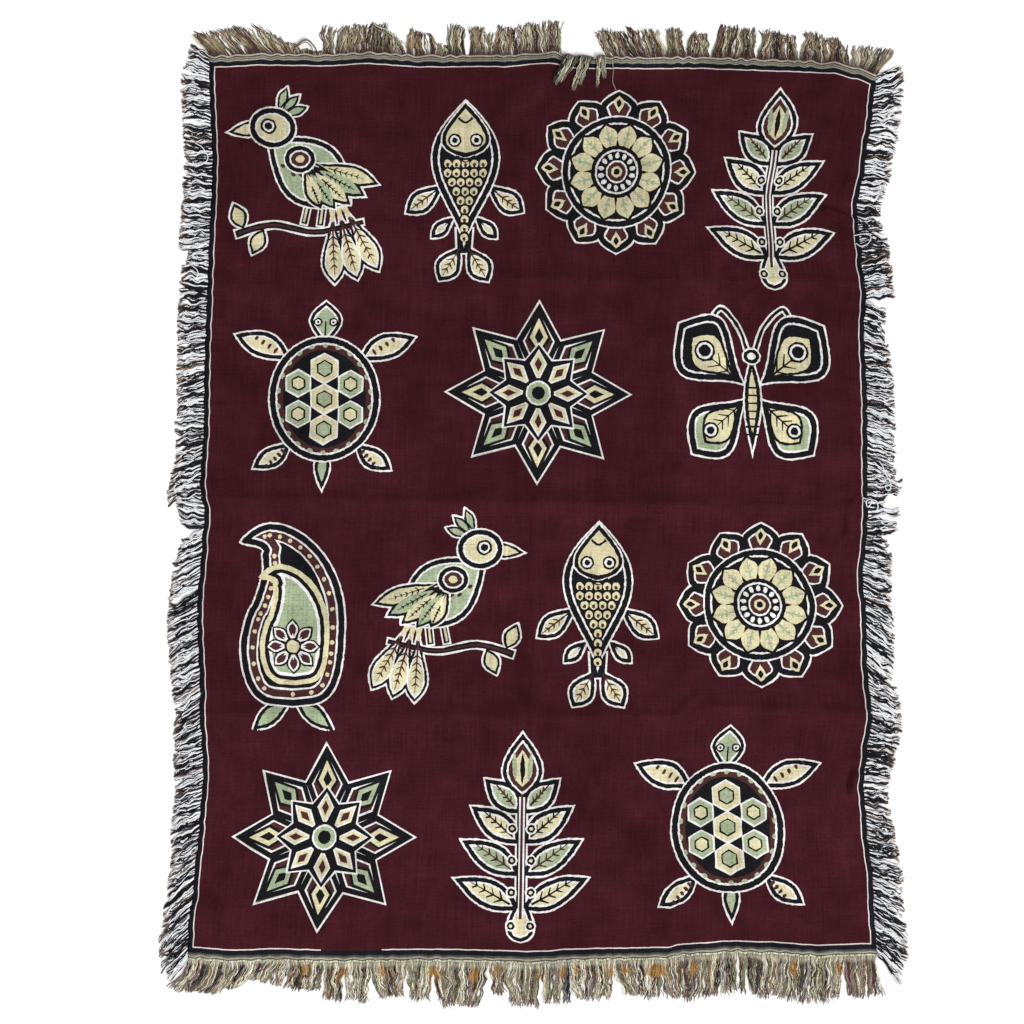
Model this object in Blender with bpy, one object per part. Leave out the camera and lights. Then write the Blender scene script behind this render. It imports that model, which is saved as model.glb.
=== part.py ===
"""A woven throw blanket lying face up on a flat surface, with a fringe on all four edges.

Metres, +Z up, length along Y, resting on Z = 0. The cloth is one sheet with the soft
ridges that were left where it had been folded. Each fringe is a row of yarn locks fused
into a narrow strip just outside the cloth's edge. Tables are in millimetres.

The flat cloth has coordinates u across and v along, from its middle. plan() gives the
place of each point once the cloth lies with its corners and edges pulled out of true,
and lift() gives how far its folds stand up.
"""
import math

import bmesh
import bpy
from mathutils import Matrix, Vector

MM = 0.001

CLOTH_WIDTH = 1.030
CLOTH_LENGTH = 1.405
CLOTH_THICKNESS = 0.002
HALF_WIDTH = CLOTH_WIDTH / 2
HALF_LENGTH = CLOTH_LENGTH / 2

# Where the corners lie, from the middle of a true rectangle: x, y
CORNER_BOTTOM_LEFT = (-530, -703)
CORNER_BOTTOM_RIGHT = (519, -697)
CORNER_TOP_LEFT = (-516, 704)
CORNER_TOP_RIGHT = (541, 674)

# How far each edge leaves the straight line between its corners: place along it, outward
TOP_EDGE = (
    (-515, 0), (-500, 1), (-436, 6), (-345, 7), (-267, 13), (-190, 10), (-62, 14),
    (7, 22), (56, 15), (144, 17), (246, 20), (380, 19), (449, 18), (483, 10), (515, 0),
)
BOTTOM_EDGE = (
    (-515, 0), (-440, 5), (-388, 3), (-290, 6), (-165, 5), (20, 9), (55, 6), (130, 5),
    (215, 1), (250, -2), (300, -5), (350, -3), (430, 2), (515, 0),
)
LEFT_EDGE = (
    (-702, 0), (-645, 0), (-600, -6), (-500, -13), (-430, -17), (-320, -10), (-170, -2),
    (-70, -7), (-25, -10), (25, -2), (120, -5), (230, -4), (360, -6), (500, -9), (702, 0),
)
RIGHT_EDGE = (
    (-702, 0), (-600, -5), (-500, -15), (-440, -20), (-380, -14), (-340, -7), (-240, -15),
    (-165, -16), (-120, -21), (-30, -14), (150, -14), (290, -19), (330, -16), (400, -23),
    (480, -30), (560, -17), (640, -6), (702, 0),
)
EDGE_PULL_REACH = 0.30

# Soft ridges: u and v of one end, u and v of the other, height, half width
FOLDS = (
    (-515, 0, 515, -2, 4.5, 30),
    (-30, 349, 515, 357, 3.0, 28),
    (-515, -332, 215, -332, 3.2, 28),
    (215, -332, 250, -300, 2.5, 26),
    (250, -318, 515, -325, 2.6, 28),
    (-30, 540, -28, 0, 2.5, 28),
    (-4, 0, -4, -406, 2.2, 28),
    (465, 483, 515, 470, 4.5, 18),
    (496, 600, 490, 300, 2.0, 20),
    (498, -428, 508, -450, 2.5, 20),
    (500, 10, 495, -50, 3.0, 18),
    (-505, 143, -460, 143, 2.5, 18),
    (200, -672, 224, -592, 2.2, 30),
    (-465, -578, -436, -530, 2.0, 28),
    (-268, 640, -238, 607, 2.0, 28),
    (300, -70, 455, -275, 1.5, 36),
)

# The sheet is cut into cells no wider than this, and finer ones beside a fold
COARSE_CELL = 0.052
FINE_CELL = 0.014
# Folds that lie along the cells: place of the fold, fine cells on each side of it
FOLD_COLUMNS = ((-17, 2), (487, 2))
FOLD_ROWS = ((-332, 2), (0, 2), (143, 1), (353, 2), (476, 1))

FRINGE_GAP = 0.0003
STRIP_WIDTH = 0.004
STRIP_THICKNESS = 0.002
LOCK_PITCH = 0.024

# Tufts of each fringe, in order along the edge:
# root from, root to, tip from, tip to, length at the start, length at the end
TOP_TUFTS = (
    (-515, -465, -530, -500, 37, 44),
    (-465, -415, -500, -455, 47, 44),
    (-415, -370, -450, -380, 51, 16),
    (-370, -340, -370, -340, 9, 9),
    (-340, -320, -340, -320, 47, 50),
    (-320, -295, -315, -295, 50, 37),
    (-295, -240, -290, -245, 50, 51),
    (-240, -210, -245, -220, 40, 25),
    (-210, -165, -205, -175, 47, 37),
    (-165, -145, -165, -145, 25, 19),
    (-145, -80, -145, -85, 53, 50),
    (-80, -35, -75, -45, 51, 44),
    (-35, 30, -40, 30, 50, 51),
    (30, 100, 35, 90, 62, 62),
    (100, 150, 85, 125, 47, 44),
    (150, 190, 125, 185, 53, 47),
    (190, 225, 195, 215, 53, 44),
    (225, 260, 230, 255, 44, 40),
    (260, 330, 275, 330, 56, 50),
    (330, 385, 340, 370, 50, 40),
    (385, 425, 395, 425, 53, 47),
    (425, 465, 430, 460, 47, 34),
    (465, 515, 475, 535, 31, 40),
)
BOTTOM_TUFTS = (
    (-515, -495, -540, -520, 50, 50),
    (-495, -470, -520, -490, 50, 50),
    (-470, -430, -485, -435, 47, 44),
    (-430, -400, -430, -410, 37, 22),
    (-400, -335, -400, -340, 47, 45),
    (-335, -285, -335, -285, 62, 59),
    (-285, -255, -285, -260, 65, 62),
    (-255, -215, -255, -220, 59, 56),
    (-215, -190, -215, -195, 53, 56),
    (-190, -145, -190, -150, 65, 62),
    (-145, -105, -140, -105, 72, 72),
    (-105, -65, -100, -75, 72, 68),
    (-65, -35, -60, -35, 59, 67),
    (-35, 5, -35, 0, 68, 68),
    (5, 55, 0, 45, 68, 65),
    (55, 90, 65, 90, 65, 62),
    (90, 135, 95, 125, 56, 62),
    (135, 170, 140, 165, 56, 59),
    (170, 210, 170, 200, 62, 65),
    (210, 260, 205, 255, 68, 68),
    (260, 295, 265, 290, 65, 62),
    (295, 390, 295, 385, 68, 65),
    (390, 430, 390, 425, 68, 72),
    (430, 480, 430, 480, 68, 68),
    (480, 515, 500, 540, 68, 68),
)
LEFT_TUFTS = (
    (-702, -685, -735, -710, 28, 34),
    (-685, -625, -705, -665, 40, 47),
    (-625, -545, -660, -575, 47, 40),
    (-545, -470, -570, -485, 40, 47),
    (-470, -390, -480, -400, 44, 44),
    (-390, -345, -400, -365, 40, 37),
    (-345, -315, -360, -330, 44, 40),
    (-315, -270, -320, -290, 34, 44),
    (-270, -175, -285, -190, 44, 48),
    (-175, -75, -185, -85, 47, 44),
    (-75, -45, -75, -60, 37, 31),
    (-45, 0, -55, -10, 53, 56),
    (0, 45, -5, 45, 54, 47),
    (45, 90, 50, 90, 42, 45),
    (90, 230, 90, 225, 44, 44),
    (230, 350, 230, 345, 47, 44),
    (350, 380, 345, 370, 40, 31),
    (380, 540, 380, 540, 50, 44),
    (540, 620, 540, 615, 47, 47),
    (620, 702, 615, 700, 44, 37),
)
RIGHT_TUFTS = (
    (-702, -660, -750, -700, 37, 50),
    (-660, -580, -685, -600, 53, 50),
    (-580, -470, -595, -480, 50, 44),
    (-470, -370, -475, -380, 44, 47),
    (-370, -275, -380, -285, 47, 44),
    (-275, -150, -285, -155, 40, 44),
    (-150, -55, -150, -60, 47, 40),
    (-55, -10, -55, -10, 53, 47),
    (-10, 5, -15, 0, 22, 19),
    (5, 40, 15, 40, 53, 44),
    (40, 105, 40, 105, 44, 44),
    (105, 180, 100, 175, 44, 44),
    (180, 250, 175, 245, 44, 44),
    (250, 315, 245, 305, 42, 42),
    (315, 330, 310, 325, 40, 37),
    (330, 410, 325, 410, 47, 47),
    (410, 430, 410, 430, 34, 34),
    (430, 490, 435, 490, 40, 47),
    (490, 630, 490, 635, 47, 47),
    (630, 702, 640, 715, 47, 44),
)
# One tuft of the top fringe lies folded back over the cloth: root from, root to
FOLDED_BACK = (30, 100)

# A lock lying out from the edge: share of its length, share of its width, thickness
LOCK_RINGS = ((0.30, 0.90, 5.0), (0.75, 0.72, 4.5), (1.00, 0.30, 2.0))
# A lock folded back: distance out from the edge, height, share of width, thickness
FOLDED_RINGS = (
    (6, 4.0, 0.85, 4.0),
    (8, 10.0, 0.80, 4.0),
    (0, 13.5, 0.75, 4.0),
    (-25, 9.5, 0.70, 4.5),
    (-60, 6.0, 0.35, 2.5),
)
LEAST_LOCK_WIDTH = 0.004

# Colours: red, green and blue of the linear colour, then roughness
CLOTH_FINISH = (0.055, 0.012, 0.018, 0.92)
END_FRINGE_FINISH = (0.21, 0.16, 0.11, 0.90)
SIDE_FRINGE_FINISH = (0.20, 0.20, 0.21, 0.90)


def mix(start, end, share):
    """The value that lies the given share of the way from start to end."""
    return start + (end - start) * share


def read_edge(table, place):
    """Outward pull at a place in metres along an edge, eased between the table's rows."""
    where = place / MM
    for (near, pull_near), (far, pull_far) in zip(table, table[1:]):
        if where <= far:
            share = min(max((where - near) / (far - near), 0.0), 1.0)
            return mix(pull_near, pull_far, share * share * (3 - 2 * share)) * MM
    return table[-1][1] * MM


def fade(distance):
    """How much of an edge's pull is felt at a distance inside it."""
    return math.exp(-(distance / EDGE_PULL_REACH) ** 2)


def plan(u, v):
    """Where the flat cloth's point (u, v) lies, seen from above."""
    across = (u + HALF_WIDTH) / CLOTH_WIDTH
    along = (v + HALF_LENGTH) / CLOTH_LENGTH
    place = []
    for axis in (0, 1):
        low = mix(CORNER_BOTTOM_LEFT[axis], CORNER_BOTTOM_RIGHT[axis], across)
        high = mix(CORNER_TOP_LEFT[axis], CORNER_TOP_RIGHT[axis], across)
        place.append(mix(low, high, along) * MM)
    place[0] -= read_edge(LEFT_EDGE, v) * fade(HALF_WIDTH + u)
    place[0] += read_edge(RIGHT_EDGE, v) * fade(HALF_WIDTH - u)
    place[1] -= read_edge(BOTTOM_EDGE, u) * fade(HALF_LENGTH + v)
    place[1] += read_edge(TOP_EDGE, u) * fade(HALF_LENGTH - v)
    return place


def ridge_share(u, v, fold):
    """Height share at (u, v) of one fold, a soft ridge along the line between its ends."""
    u_start, v_start, u_end, v_end, _, half_width = (value * MM for value in fold)
    run = Vector((u_end - u_start, v_end - v_start))
    offset = Vector((u - u_start, v - v_start))
    share = min(max(offset.dot(run) / run.length_squared, 0.0), 1.0)
    distance = (offset - run * share).length
    if distance >= half_width:
        return 0.0
    return 0.5 + 0.5 * math.cos(math.pi * distance / half_width)


def lift(u, v):
    """Height of the cloth's underside at (u, v), where folds that cross merge softly."""
    total = sum((fold[4] * MM * ridge_share(u, v, fold)) ** 2 for fold in FOLDS)
    return math.sqrt(total)


def cloth_point(u, v):
    """The point of the cloth's underside at (u, v)."""
    x, y = plan(u, v)
    return Vector((x, y, lift(u, v)))


def grid_lines(half_size, fold_places):
    """Places of the sheet's lines: fine cells beside the folds and coarse ones between."""
    fixed = {-half_size, half_size}
    for centre, count in fold_places:
        fixed.update(centre * MM + step * FINE_CELL for step in range(-count, count + 1))
    fixed = sorted(place for place in fixed if abs(place) <= half_size)
    lines = [fixed[0]]
    for start, end in zip(fixed, fixed[1:]):
        cells = math.ceil((end - start) / COARSE_CELL - 0.01)
        lines += [mix(start, end, (cell + 1) / cells) for cell in range(cells)]
    return lines


def make_material(name, finish):
    """A plain surface of one colour."""
    red, green, blue, roughness = finish
    material = bpy.data.materials.new(name)
    material.use_nodes = True
    shader = material.node_tree.nodes["Principled BSDF"]
    shader.inputs["Base Color"].default_value = (red, green, blue, 1.0)
    shader.inputs["Roughness"].default_value = roughness
    shader.inputs["Metallic"].default_value = 0.0
    return material


def add_object(name, bm, material, collection):
    """Close the mesh work of one node and put its object in the collection."""
    bmesh.ops.recalc_face_normals(bm, faces=bm.faces)
    mesh = bpy.data.meshes.new(name)
    bm.to_mesh(mesh)
    bm.free()
    mesh.materials.append(material)
    node = bpy.data.objects.new(name, mesh)
    collection.objects.link(node)
    return node


def grid_index(position, cells):
    """Index of a grid line from a vertex position that runs from -1 to 1."""
    return round((position + 1) / 2 * cells)


def thicken(bm, thickness):
    """Turn the open sheet into a solid that reaches straight up by the thickness."""
    result = bmesh.ops.extrude_face_region(bm, geom=bm.faces[:])
    raised = [item for item in result["geom"] if isinstance(item, bmesh.types.BMVert)]
    bmesh.ops.translate(bm, verts=raised, vec=(0, 0, thickness))


def build_cloth(columns, rows):
    """The woven panel as one sheet, bent over its folds."""
    bm = bmesh.new()
    column_cells = len(columns) - 1
    row_cells = len(rows) - 1
    bmesh.ops.create_grid(bm, x_segments=column_cells, y_segments=row_cells, size=1.0)
    for vert in bm.verts:
        u = columns[grid_index(vert.co.x, column_cells)]
        v = rows[grid_index(vert.co.y, row_cells)]
        vert.co = cloth_point(u, v)
    thicken(bm, CLOTH_THICKNESS)
    return bm


def find_tuft(tufts, place):
    """The tuft whose root holds the place, in metres along the edge."""
    for tuft in tufts:
        if place / MM <= tuft[1]:
            return tuft
    return tufts[-1]


def tuft_length(tuft, place):
    """Length of the yarn that is rooted at a place of a tuft."""
    root_from, root_to, _, _, length_from, length_to = tuft
    share = min(max((place / MM - root_from) / (root_to - root_from), 0.0), 1.0)
    return mix(length_from, length_to, share) * MM


def tuft_slope(tuft, place):
    """Sideways travel of the yarn at a place of a tuft for each metre outward."""
    root_from, root_to, tip_from, tip_to, _, _ = tuft
    share = min(max((place / MM - root_from) / (root_to - root_from), 0.0), 1.0)
    travel = mix(tip_from, tip_to, share) - mix(root_from, root_to, share)
    return travel * MM / tuft_length(tuft, place)


def edge_cells(lines, point_at):
    """Cell bounds along an edge, as (place, point), on the cloth's own straight pieces."""
    bounds = [(lines[0], point_at(lines[0]))]
    for start, end in zip(lines, lines[1:]):
        cells = max(round((end - start) / LOCK_PITCH), 1)
        first = point_at(start)
        last = point_at(end)
        for cell in range(1, cells + 1):
            share = cell / cells
            bounds.append((mix(start, end, share), first.lerp(last, share)))
    return bounds


def lay_path(outer_height, length):
    """Path of a lock that lies out from the edge: out, height, travel, width, thickness."""
    path = []
    for share, width, thickness in LOCK_RINGS:
        height = outer_height * (1 - share) ** 2 + thickness * MM / 2
        path.append((length * share, height, length * share, width, thickness * MM))
    return path


def fold_path():
    """Path of a lock folded back: out, height, travel, width share, thickness."""
    path = []
    travel = 0.0
    last = (0.0, STRIP_THICKNESS / 2)
    for out, height, width, thickness in FOLDED_RINGS:
        travel += math.dist(last, (out * MM, height * MM))
        last = (out * MM, height * MM)
        path.append((*last, travel, width, thickness * MM))
    return path


def upward(path, index, folded):
    """Direction across a lock's thickness at one step of its path, as (out, height)."""
    if not folded:
        return 0.0, 1.0
    before = path[index - 1] if index else (0.0, STRIP_THICKNESS / 2)
    after = path[min(index + 1, len(path) - 1)]
    run = Vector((after[0] - before[0], after[1] - before[1])).normalized()
    return -run.y, run.x


def grow_lock(bm, root, labels, corners, slopes, outward, along, path, folded):
    """Extrude one lock from its root face, ring by ring along its path."""
    face = root
    for index, (out, height, travel, width, thickness) in enumerate(path):
        face = bmesh.ops.extrude_discrete_faces(bm, faces=[face])["faces"][0]
        ends = [corner + along * slope * travel for corner, slope in zip(corners, slopes)]
        middle = (ends[0] + ends[1]) / 2
        half = (ends[1] - ends[0]) / 2
        half *= width * max(half.length, LEAST_LOCK_WIDTH / 2) / half.length
        rise_out, rise_up = upward(path, index, folded)
        for vert, (end, level) in zip(face.verts, labels):
            side = half if end else -half
            rise = (level - 0.5) * thickness
            place = middle + side + outward * (out + rise * rise_out)
            vert.co = (place.x, place.y, height + rise * rise_up)


def build_fringe(bounds, outward, along, tufts, folded_back=None):
    """A strip along one edge of the cloth, with a lock on each cell of its outer face."""
    cells = len(bounds) - 1
    inner = [point + outward * FRINGE_GAP for _, point in bounds]
    outer = [point + outward * STRIP_WIDTH for point in inner]
    bm = bmesh.new()
    bmesh.ops.create_grid(bm, x_segments=cells, y_segments=1, size=1.0)
    place_of = {}
    for vert in bm.verts:
        index = grid_index(vert.co.x, cells)
        is_outer = vert.co.y > 0
        vert.co = outer[index] if is_outer else inner[index]
        if is_outer:
            place_of[vert.co.copy().freeze()] = index
    thicken(bm, STRIP_THICKNESS)
    rise = Vector((0, 0, STRIP_THICKNESS))
    place_of.update({(co + rise).freeze(): index for co, index in list(place_of.items())})
    bmesh.ops.recalc_face_normals(bm, faces=bm.faces)

    slopes = [tuft_slope(find_tuft(tufts, place), place) for place, _ in bounds]
    roots = []
    for face in bm.faces:
        indices = [place_of.get(vert.co.copy().freeze()) for vert in face.verts]
        if None not in indices and len(set(indices)) == 2:
            roots.append((face, min(indices), indices))
    for face, cell, indices in sorted(roots, key=lambda root: root[1]):
        place = (bounds[cell][0] + bounds[cell + 1][0]) / 2
        tuft = find_tuft(tufts, place)
        base = min(vert.co.z for vert in face.verts)
        middle_height = (bounds[cell][1].z + bounds[cell + 1][1].z) / 2
        labels = []
        for vert, index in zip(face.verts, indices):
            labels.append((index - cell, int(vert.co.z - base > STRIP_THICKNESS / 2)))
        own = [tuft_slope(tuft, bounds[cell][0]), tuft_slope(tuft, bounds[cell + 1][0])]
        lock_slopes = (max(own[0], slopes[cell]), min(own[1], slopes[cell + 1]))
        corners = [Vector((outer[i].x, outer[i].y, 0)) for i in (cell, cell + 1)]
        folded = bool(folded_back) and folded_back[0] <= place / MM <= folded_back[1]
        path = fold_path() if folded else lay_path(middle_height, tuft_length(tuft, place))
        grow_lock(bm, face, labels, corners, lock_slopes, outward, along, path, folded)
    return bm


def stand_on_origin(nodes):
    """Move all meshes so that the middle of their common box is over the origin."""
    points = [vert.co for node in nodes for vert in node.data.vertices]
    middle = Vector((0, 0, 0))
    for axis in (0, 1):
        values = [point[axis] for point in points]
        middle[axis] = (min(values) + max(values)) / 2
    for node in nodes:
        node.data.transform(Matrix.Translation(-middle))


def build_blanket():
    """Make all nodes of the blanket in a collection of their own."""
    for old in list(bpy.data.objects):
        bpy.data.objects.remove(old)
    collection = bpy.data.collections.new("patterned_blanket")
    bpy.context.scene.collection.children.link(collection)
    cloth = make_material("woven_cloth", CLOTH_FINISH)
    end_yarn = make_material("end_fringe_yarn", END_FRINGE_FINISH)
    side_yarn = make_material("side_fringe_yarn", SIDE_FRINGE_FINISH)

    columns = grid_lines(HALF_WIDTH, FOLD_COLUMNS)
    rows = grid_lines(HALF_LENGTH, FOLD_ROWS)
    across = Vector((1, 0, 0))
    along = Vector((0, 1, 0))
    top = edge_cells(columns, lambda u: cloth_point(u, HALF_LENGTH))
    bottom = edge_cells(columns, lambda u: cloth_point(u, -HALF_LENGTH))
    left = edge_cells(rows, lambda v: cloth_point(-HALF_WIDTH, v))
    right = edge_cells(rows, lambda v: cloth_point(HALF_WIDTH, v))
    fringe_top = build_fringe(top, along, across, TOP_TUFTS, FOLDED_BACK)
    fringe_bottom = build_fringe(bottom, -along, across, BOTTOM_TUFTS)
    fringe_left = build_fringe(left, -across, along, LEFT_TUFTS)
    fringe_right = build_fringe(right, across, along, RIGHT_TUFTS)

    nodes = [
        add_object("blanket", build_cloth(columns, rows), cloth, collection),
        add_object("fringe_top", fringe_top, end_yarn, collection),
        add_object("fringe_bottom", fringe_bottom, end_yarn, collection),
        add_object("fringe_left", fringe_left, side_yarn, collection),
        add_object("fringe_right", fringe_right, side_yarn, collection),
    ]
    stand_on_origin(nodes)


build_blanket()
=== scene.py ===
"""Looks of a woven throw blanket that lies face up, with motifs, border bands and a fringe.

Metres, +Z up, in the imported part's frame. The cloth is one thin sheet whose triangles
follow the outlines of the motifs, so that each face is woven in one yarn. Its flat
coordinates are u across and v along, from its middle, as in the part's source: plan()
gives where a flat point lies, and relief() how far the cloth stands up there. Each fringe
is a mesh of single yarns. Tables are in millimetres, and colours in sRGB from 0 to 255.
"""
import math
from collections import namedtuple

import bpy
import numpy as np
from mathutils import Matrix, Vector
from mathutils.geometry import delaunay_2d_cdt


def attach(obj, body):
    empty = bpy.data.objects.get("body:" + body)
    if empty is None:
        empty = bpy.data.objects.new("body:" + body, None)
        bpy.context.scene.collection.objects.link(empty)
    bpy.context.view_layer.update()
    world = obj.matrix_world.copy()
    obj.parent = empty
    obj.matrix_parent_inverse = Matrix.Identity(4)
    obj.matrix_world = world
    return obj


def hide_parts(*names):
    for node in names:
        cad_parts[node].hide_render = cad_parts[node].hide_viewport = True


MM = 0.001

# The cloth and its place, as in the part's source
CLOTH_WIDTH = 1.030
CLOTH_LENGTH = 1.405
HALF_WIDTH = CLOTH_WIDTH / 2
HALF_LENGTH = CLOTH_LENGTH / 2

# Where the corners lie, from the middle of a true rectangle: x, y
CORNER_BOTTOM_LEFT = (-530, -703)
CORNER_BOTTOM_RIGHT = (519, -697)
CORNER_TOP_LEFT = (-516, 704)
CORNER_TOP_RIGHT = (541, 674)

# How far each edge leaves the straight line between its corners: place along it, outward
TOP_EDGE = (
    (-515, 0), (-500, 1), (-436, 6), (-345, 7), (-267, 13), (-190, 10), (-62, 14),
    (7, 22), (56, 15), (144, 17), (246, 20), (380, 19), (449, 18), (483, 10), (515, 0),
)
BOTTOM_EDGE = (
    (-515, 0), (-440, 5), (-388, 3), (-290, 6), (-165, 5), (20, 9), (55, 6), (130, 5),
    (205, 4), (218, 0), (250, -2), (300, -5), (350, -3), (430, 2), (515, 0),
)
LEFT_EDGE = (
    (-702, 0), (-645, 0), (-600, -6), (-500, -13), (-430, -17), (-320, -10), (-170, -2),
    (-70, -7), (-25, -10), (25, -2), (120, -5), (230, -4), (360, -6), (500, -9), (702, 0),
)
RIGHT_EDGE = (
    (-702, 0), (-600, -5), (-500, -15), (-440, -20), (-380, -14), (-340, -7), (-240, -15),
    (-165, -16), (-120, -21), (-30, -14), (150, -14), (290, -19), (330, -16), (400, -23),
    (480, -30), (560, -17), (640, -6), (702, 0),
)
EDGE_PULL_REACH = 0.30

# Soft ridges: u and v of one end, u and v of the other, height, half width
FOLDS = (
    (-515, 0, 515, -2, 4.5, 30),
    (-30, 349, 515, 357, 3.0, 28),
    (-515, -332, 215, -332, 3.2, 28),
    (215, -332, 250, -300, 2.5, 26),
    (250, -318, 515, -325, 2.6, 28),
    (-30, 540, -28, 0, 3.4, 26),
    (-4, 0, -4, -406, 3.0, 26),
    (467, 468, 515, 457, 8.5, 13),
    (496, 600, 490, 300, 2.0, 20),
    (501, -424, 496, -452, 7.0, 11),
    (489, 2, 485, -46, 6.5, 12),
    (-505, 143, -460, 143, 2.5, 18),
    (200, -672, 224, -592, 2.2, 30),
    (-465, -578, -436, -530, 2.0, 28),
    (-268, 640, -238, 607, 2.0, 28),
    (300, -70, 455, -275, 1.5, 36),
)

# Tufts of each fringe, in order along the edge:
# root from, root to, tip from, tip to, length at the start, length at the end
TOP_TUFTS = (
    (-515, -465, -544, -502, 38, 45),
    (-465, -415, -500, -455, 47, 44),
    (-415, -370, -450, -380, 51, 16),
    (-370, -340, -370, -340, 9, 9),
    (-340, -322, -345, -329, 47, 50),
    (-322, -295, -316, -294, 50, 37),
    (-295, -240, -290, -245, 50, 51),
    (-240, -210, -245, -220, 40, 25),
    (-210, -165, -205, -175, 47, 37),
    (-165, -145, -165, -145, 25, 19),
    (-145, -114, -146, -120, 53, 50),
    (-114, -84, -112, -90, 52, 50),
    (-84, -75, -86, -83, 42, 36),
    (-75, -35, -70, -42, 50, 44),
    (-35, 30, -40, 30, 50, 51),
    (30, 100, 35, 90, 62, 62),
    (100, 150, 85, 125, 47, 44),
    (150, 190, 125, 185, 53, 47),
    (190, 225, 195, 215, 53, 44),
    (225, 260, 230, 255, 44, 40),
    (260, 330, 275, 330, 56, 50),
    (330, 395, 338, 388, 50, 42),
    (395, 428, 404, 425, 50, 47),
    (428, 476, 430, 470, 47, 36),
    (476, 515, 480, 546, 38, 46),
)
BOTTOM_TUFTS = (
    (-515, -490, -542, -515, 50, 50),
    (-490, -445, -515, -462, 50, 46),
    (-445, -415, -466, -436, 46, 38),
    (-415, -375, -436, -390, 30, 34),
    (-375, -310, -388, -315, 40, 47),
    (-310, -278, -311, -283, 60, 62),
    (-278, -240, -274, -250, 62, 64),
    (-240, -188, -229, -195, 58, 55),
    (-188, -149, -180, -161, 56, 62),
    (-149, -108, -138, -107, 66, 70),
    (-108, -64, -105, -75, 72, 70),
    (-64, -40, -56, -47, 52, 54),
    (-40, 17, -33, 15, 64, 68),
    (17, 55, 16, 49, 68, 62),
    (55, 88, 60, 88, 60, 64),
    (88, 122, 90, 110, 64, 56),
    (122, 182, 138, 177, 54, 62),
    (182, 229, 188, 227, 60, 66),
    (229, 281, 228, 278, 68, 66),
    (281, 319, 284, 314, 64, 62),
    (319, 388, 324, 384, 66, 66),
    (388, 427, 388, 422, 68, 72),
    (427, 465, 427, 459, 68, 66),
    (465, 492, 472, 494, 62, 66),
    (492, 515, 495, 524, 66, 64),
)
LEFT_TUFTS = (
    (-702, -685, -738, -723, 28, 34),
    (-685, -625, -723, -669, 40, 47),
    (-625, -581, -669, -619, 47, 44),
    (-581, -519, -619, -543, 42, 42),
    (-519, -478, -543, -494, 42, 46),
    (-478, -374, -494, -394, 44, 44),
    (-374, -345, -394, -373, 42, 38),
    (-345, -315, -373, -345, 44, 40),
    (-315, -275, -345, -299, 36, 44),
    (-275, -152, -299, -176, 44, 47),
    (-152, -89, -176, -113, 47, 46),
    (-89, -46, -113, -62, 44, 33),
    (-46, -7, -41, -1, 34, 50),
    (-7, 9, -1, 3, 53, 52),
    (9, 72, 3, 54, 54, 44),
    (72, 117, 54, 114, 40, 46),
    (117, 143, 114, 141, 45, 42),
    (143, 175, 141, 159, 42, 44),
    (175, 229, 159, 219, 44, 44),
    (229, 300, 219, 303, 44, 46),
    (300, 361, 303, 365, 46, 42),
    (361, 396, 365, 392, 38, 31),
    (396, 502, 396, 502, 50, 46),
    (502, 563, 502, 565, 44, 45),
    (563, 614, 565, 619, 46, 47),
    (614, 661, 619, 673, 47, 46),
    (661, 702, 673, 722, 44, 30),
)
RIGHT_TUFTS = (
    (-702, -678, -744, -712, 34, 46),
    (-678, -628, -712, -658, 48, 50),
    (-628, -578, -658, -592, 47, 47),
    (-578, -513, -592, -523, 50, 45),
    (-513, -489, -523, -503, 44, 44),
    (-489, -456, -503, -460, 42, 38),
    (-456, -375, -460, -379, 38, 45),
    (-375, -322, -379, -340, 47, 47),
    (-322, -281, -340, -309, 47, 47),
    (-281, -252, -309, -286, 47, 42),
    (-252, -171, -286, -197, 40, 45),
    (-171, -127, -197, -145, 44, 44),
    (-127, -79, -145, -89, 46, 44),
    (-79, -53, -89, -58, 44, 34),
    (-53, -43, -54, -43, 22, 24),
    (-43, -24, -43, -22, 48, 46),
    (-24, -17, -22, -17, 26, 24),
    (-17, -6, -17, -4, 53, 50),
    (-6, 23, -2, 24, 28, 34),
    (23, 46, 26, 36, 50, 58),
    (46, 96, 36, 80, 46, 44),
    (96, 158, 80, 146, 44, 44),
    (158, 198, 146, 192, 44, 44),
    (198, 239, 192, 229, 44, 42),
    (239, 279, 229, 265, 42, 40),
    (279, 332, 265, 318, 34, 32),
    (332, 379, 334, 386, 47, 47),
    (379, 429, 386, 430, 47, 44),
    (429, 470, 430, 466, 40, 38),
    (470, 518, 466, 515, 38, 40),
    (518, 605, 515, 603, 42, 47),
    (605, 644, 603, 648, 47, 47),
    (644, 672, 648, 684, 47, 48),
    (672, 702, 684, 722, 47, 40),
)
# One tuft of the top fringe lies folded back over the cloth: root from, root to
FOLDED_BACK = (30, 100)

# The sheet of the looks, a little thinner than the solid that it replaces
SHEET_THICKNESS = 1.8
EDGE_STEP = 4.5
FACE_STEP = 4.5
UNDERSIDE_STEP = 9.0
FOLD_MARGIN = 14
EDGE_MARGIN = 22
# A fold's crest is sharper than the fold: its share of the height, and its half width
CREST_SHARE = 0.62
CREST_HALF_WIDTH = 7.5
LEAST_CREST = 4.4
# How far a crest wanders from its fold, and the seeds of its wandering and its strength
CREST_WANDER = 1.6
CREST_SEED = 40
CREST_STRENGTH_SEED = 80
# Short creases by the right edge: u and v of one end, u and v of the other, depth
CREASES = (
    (469, 476, 513, 465, 2.2),
    (481, 0, 478, -44, 2.0),
    (494, -422, 489, -450, 2.0),
)
CREASE_HALF_WIDTH = 6.0
# Soft unevenness of the lying cloth: length of the swells, height
SWELLS = ((190, 1.6), (64, 0.8), (26, 0.22))
SWELL_SEED = 20
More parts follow.
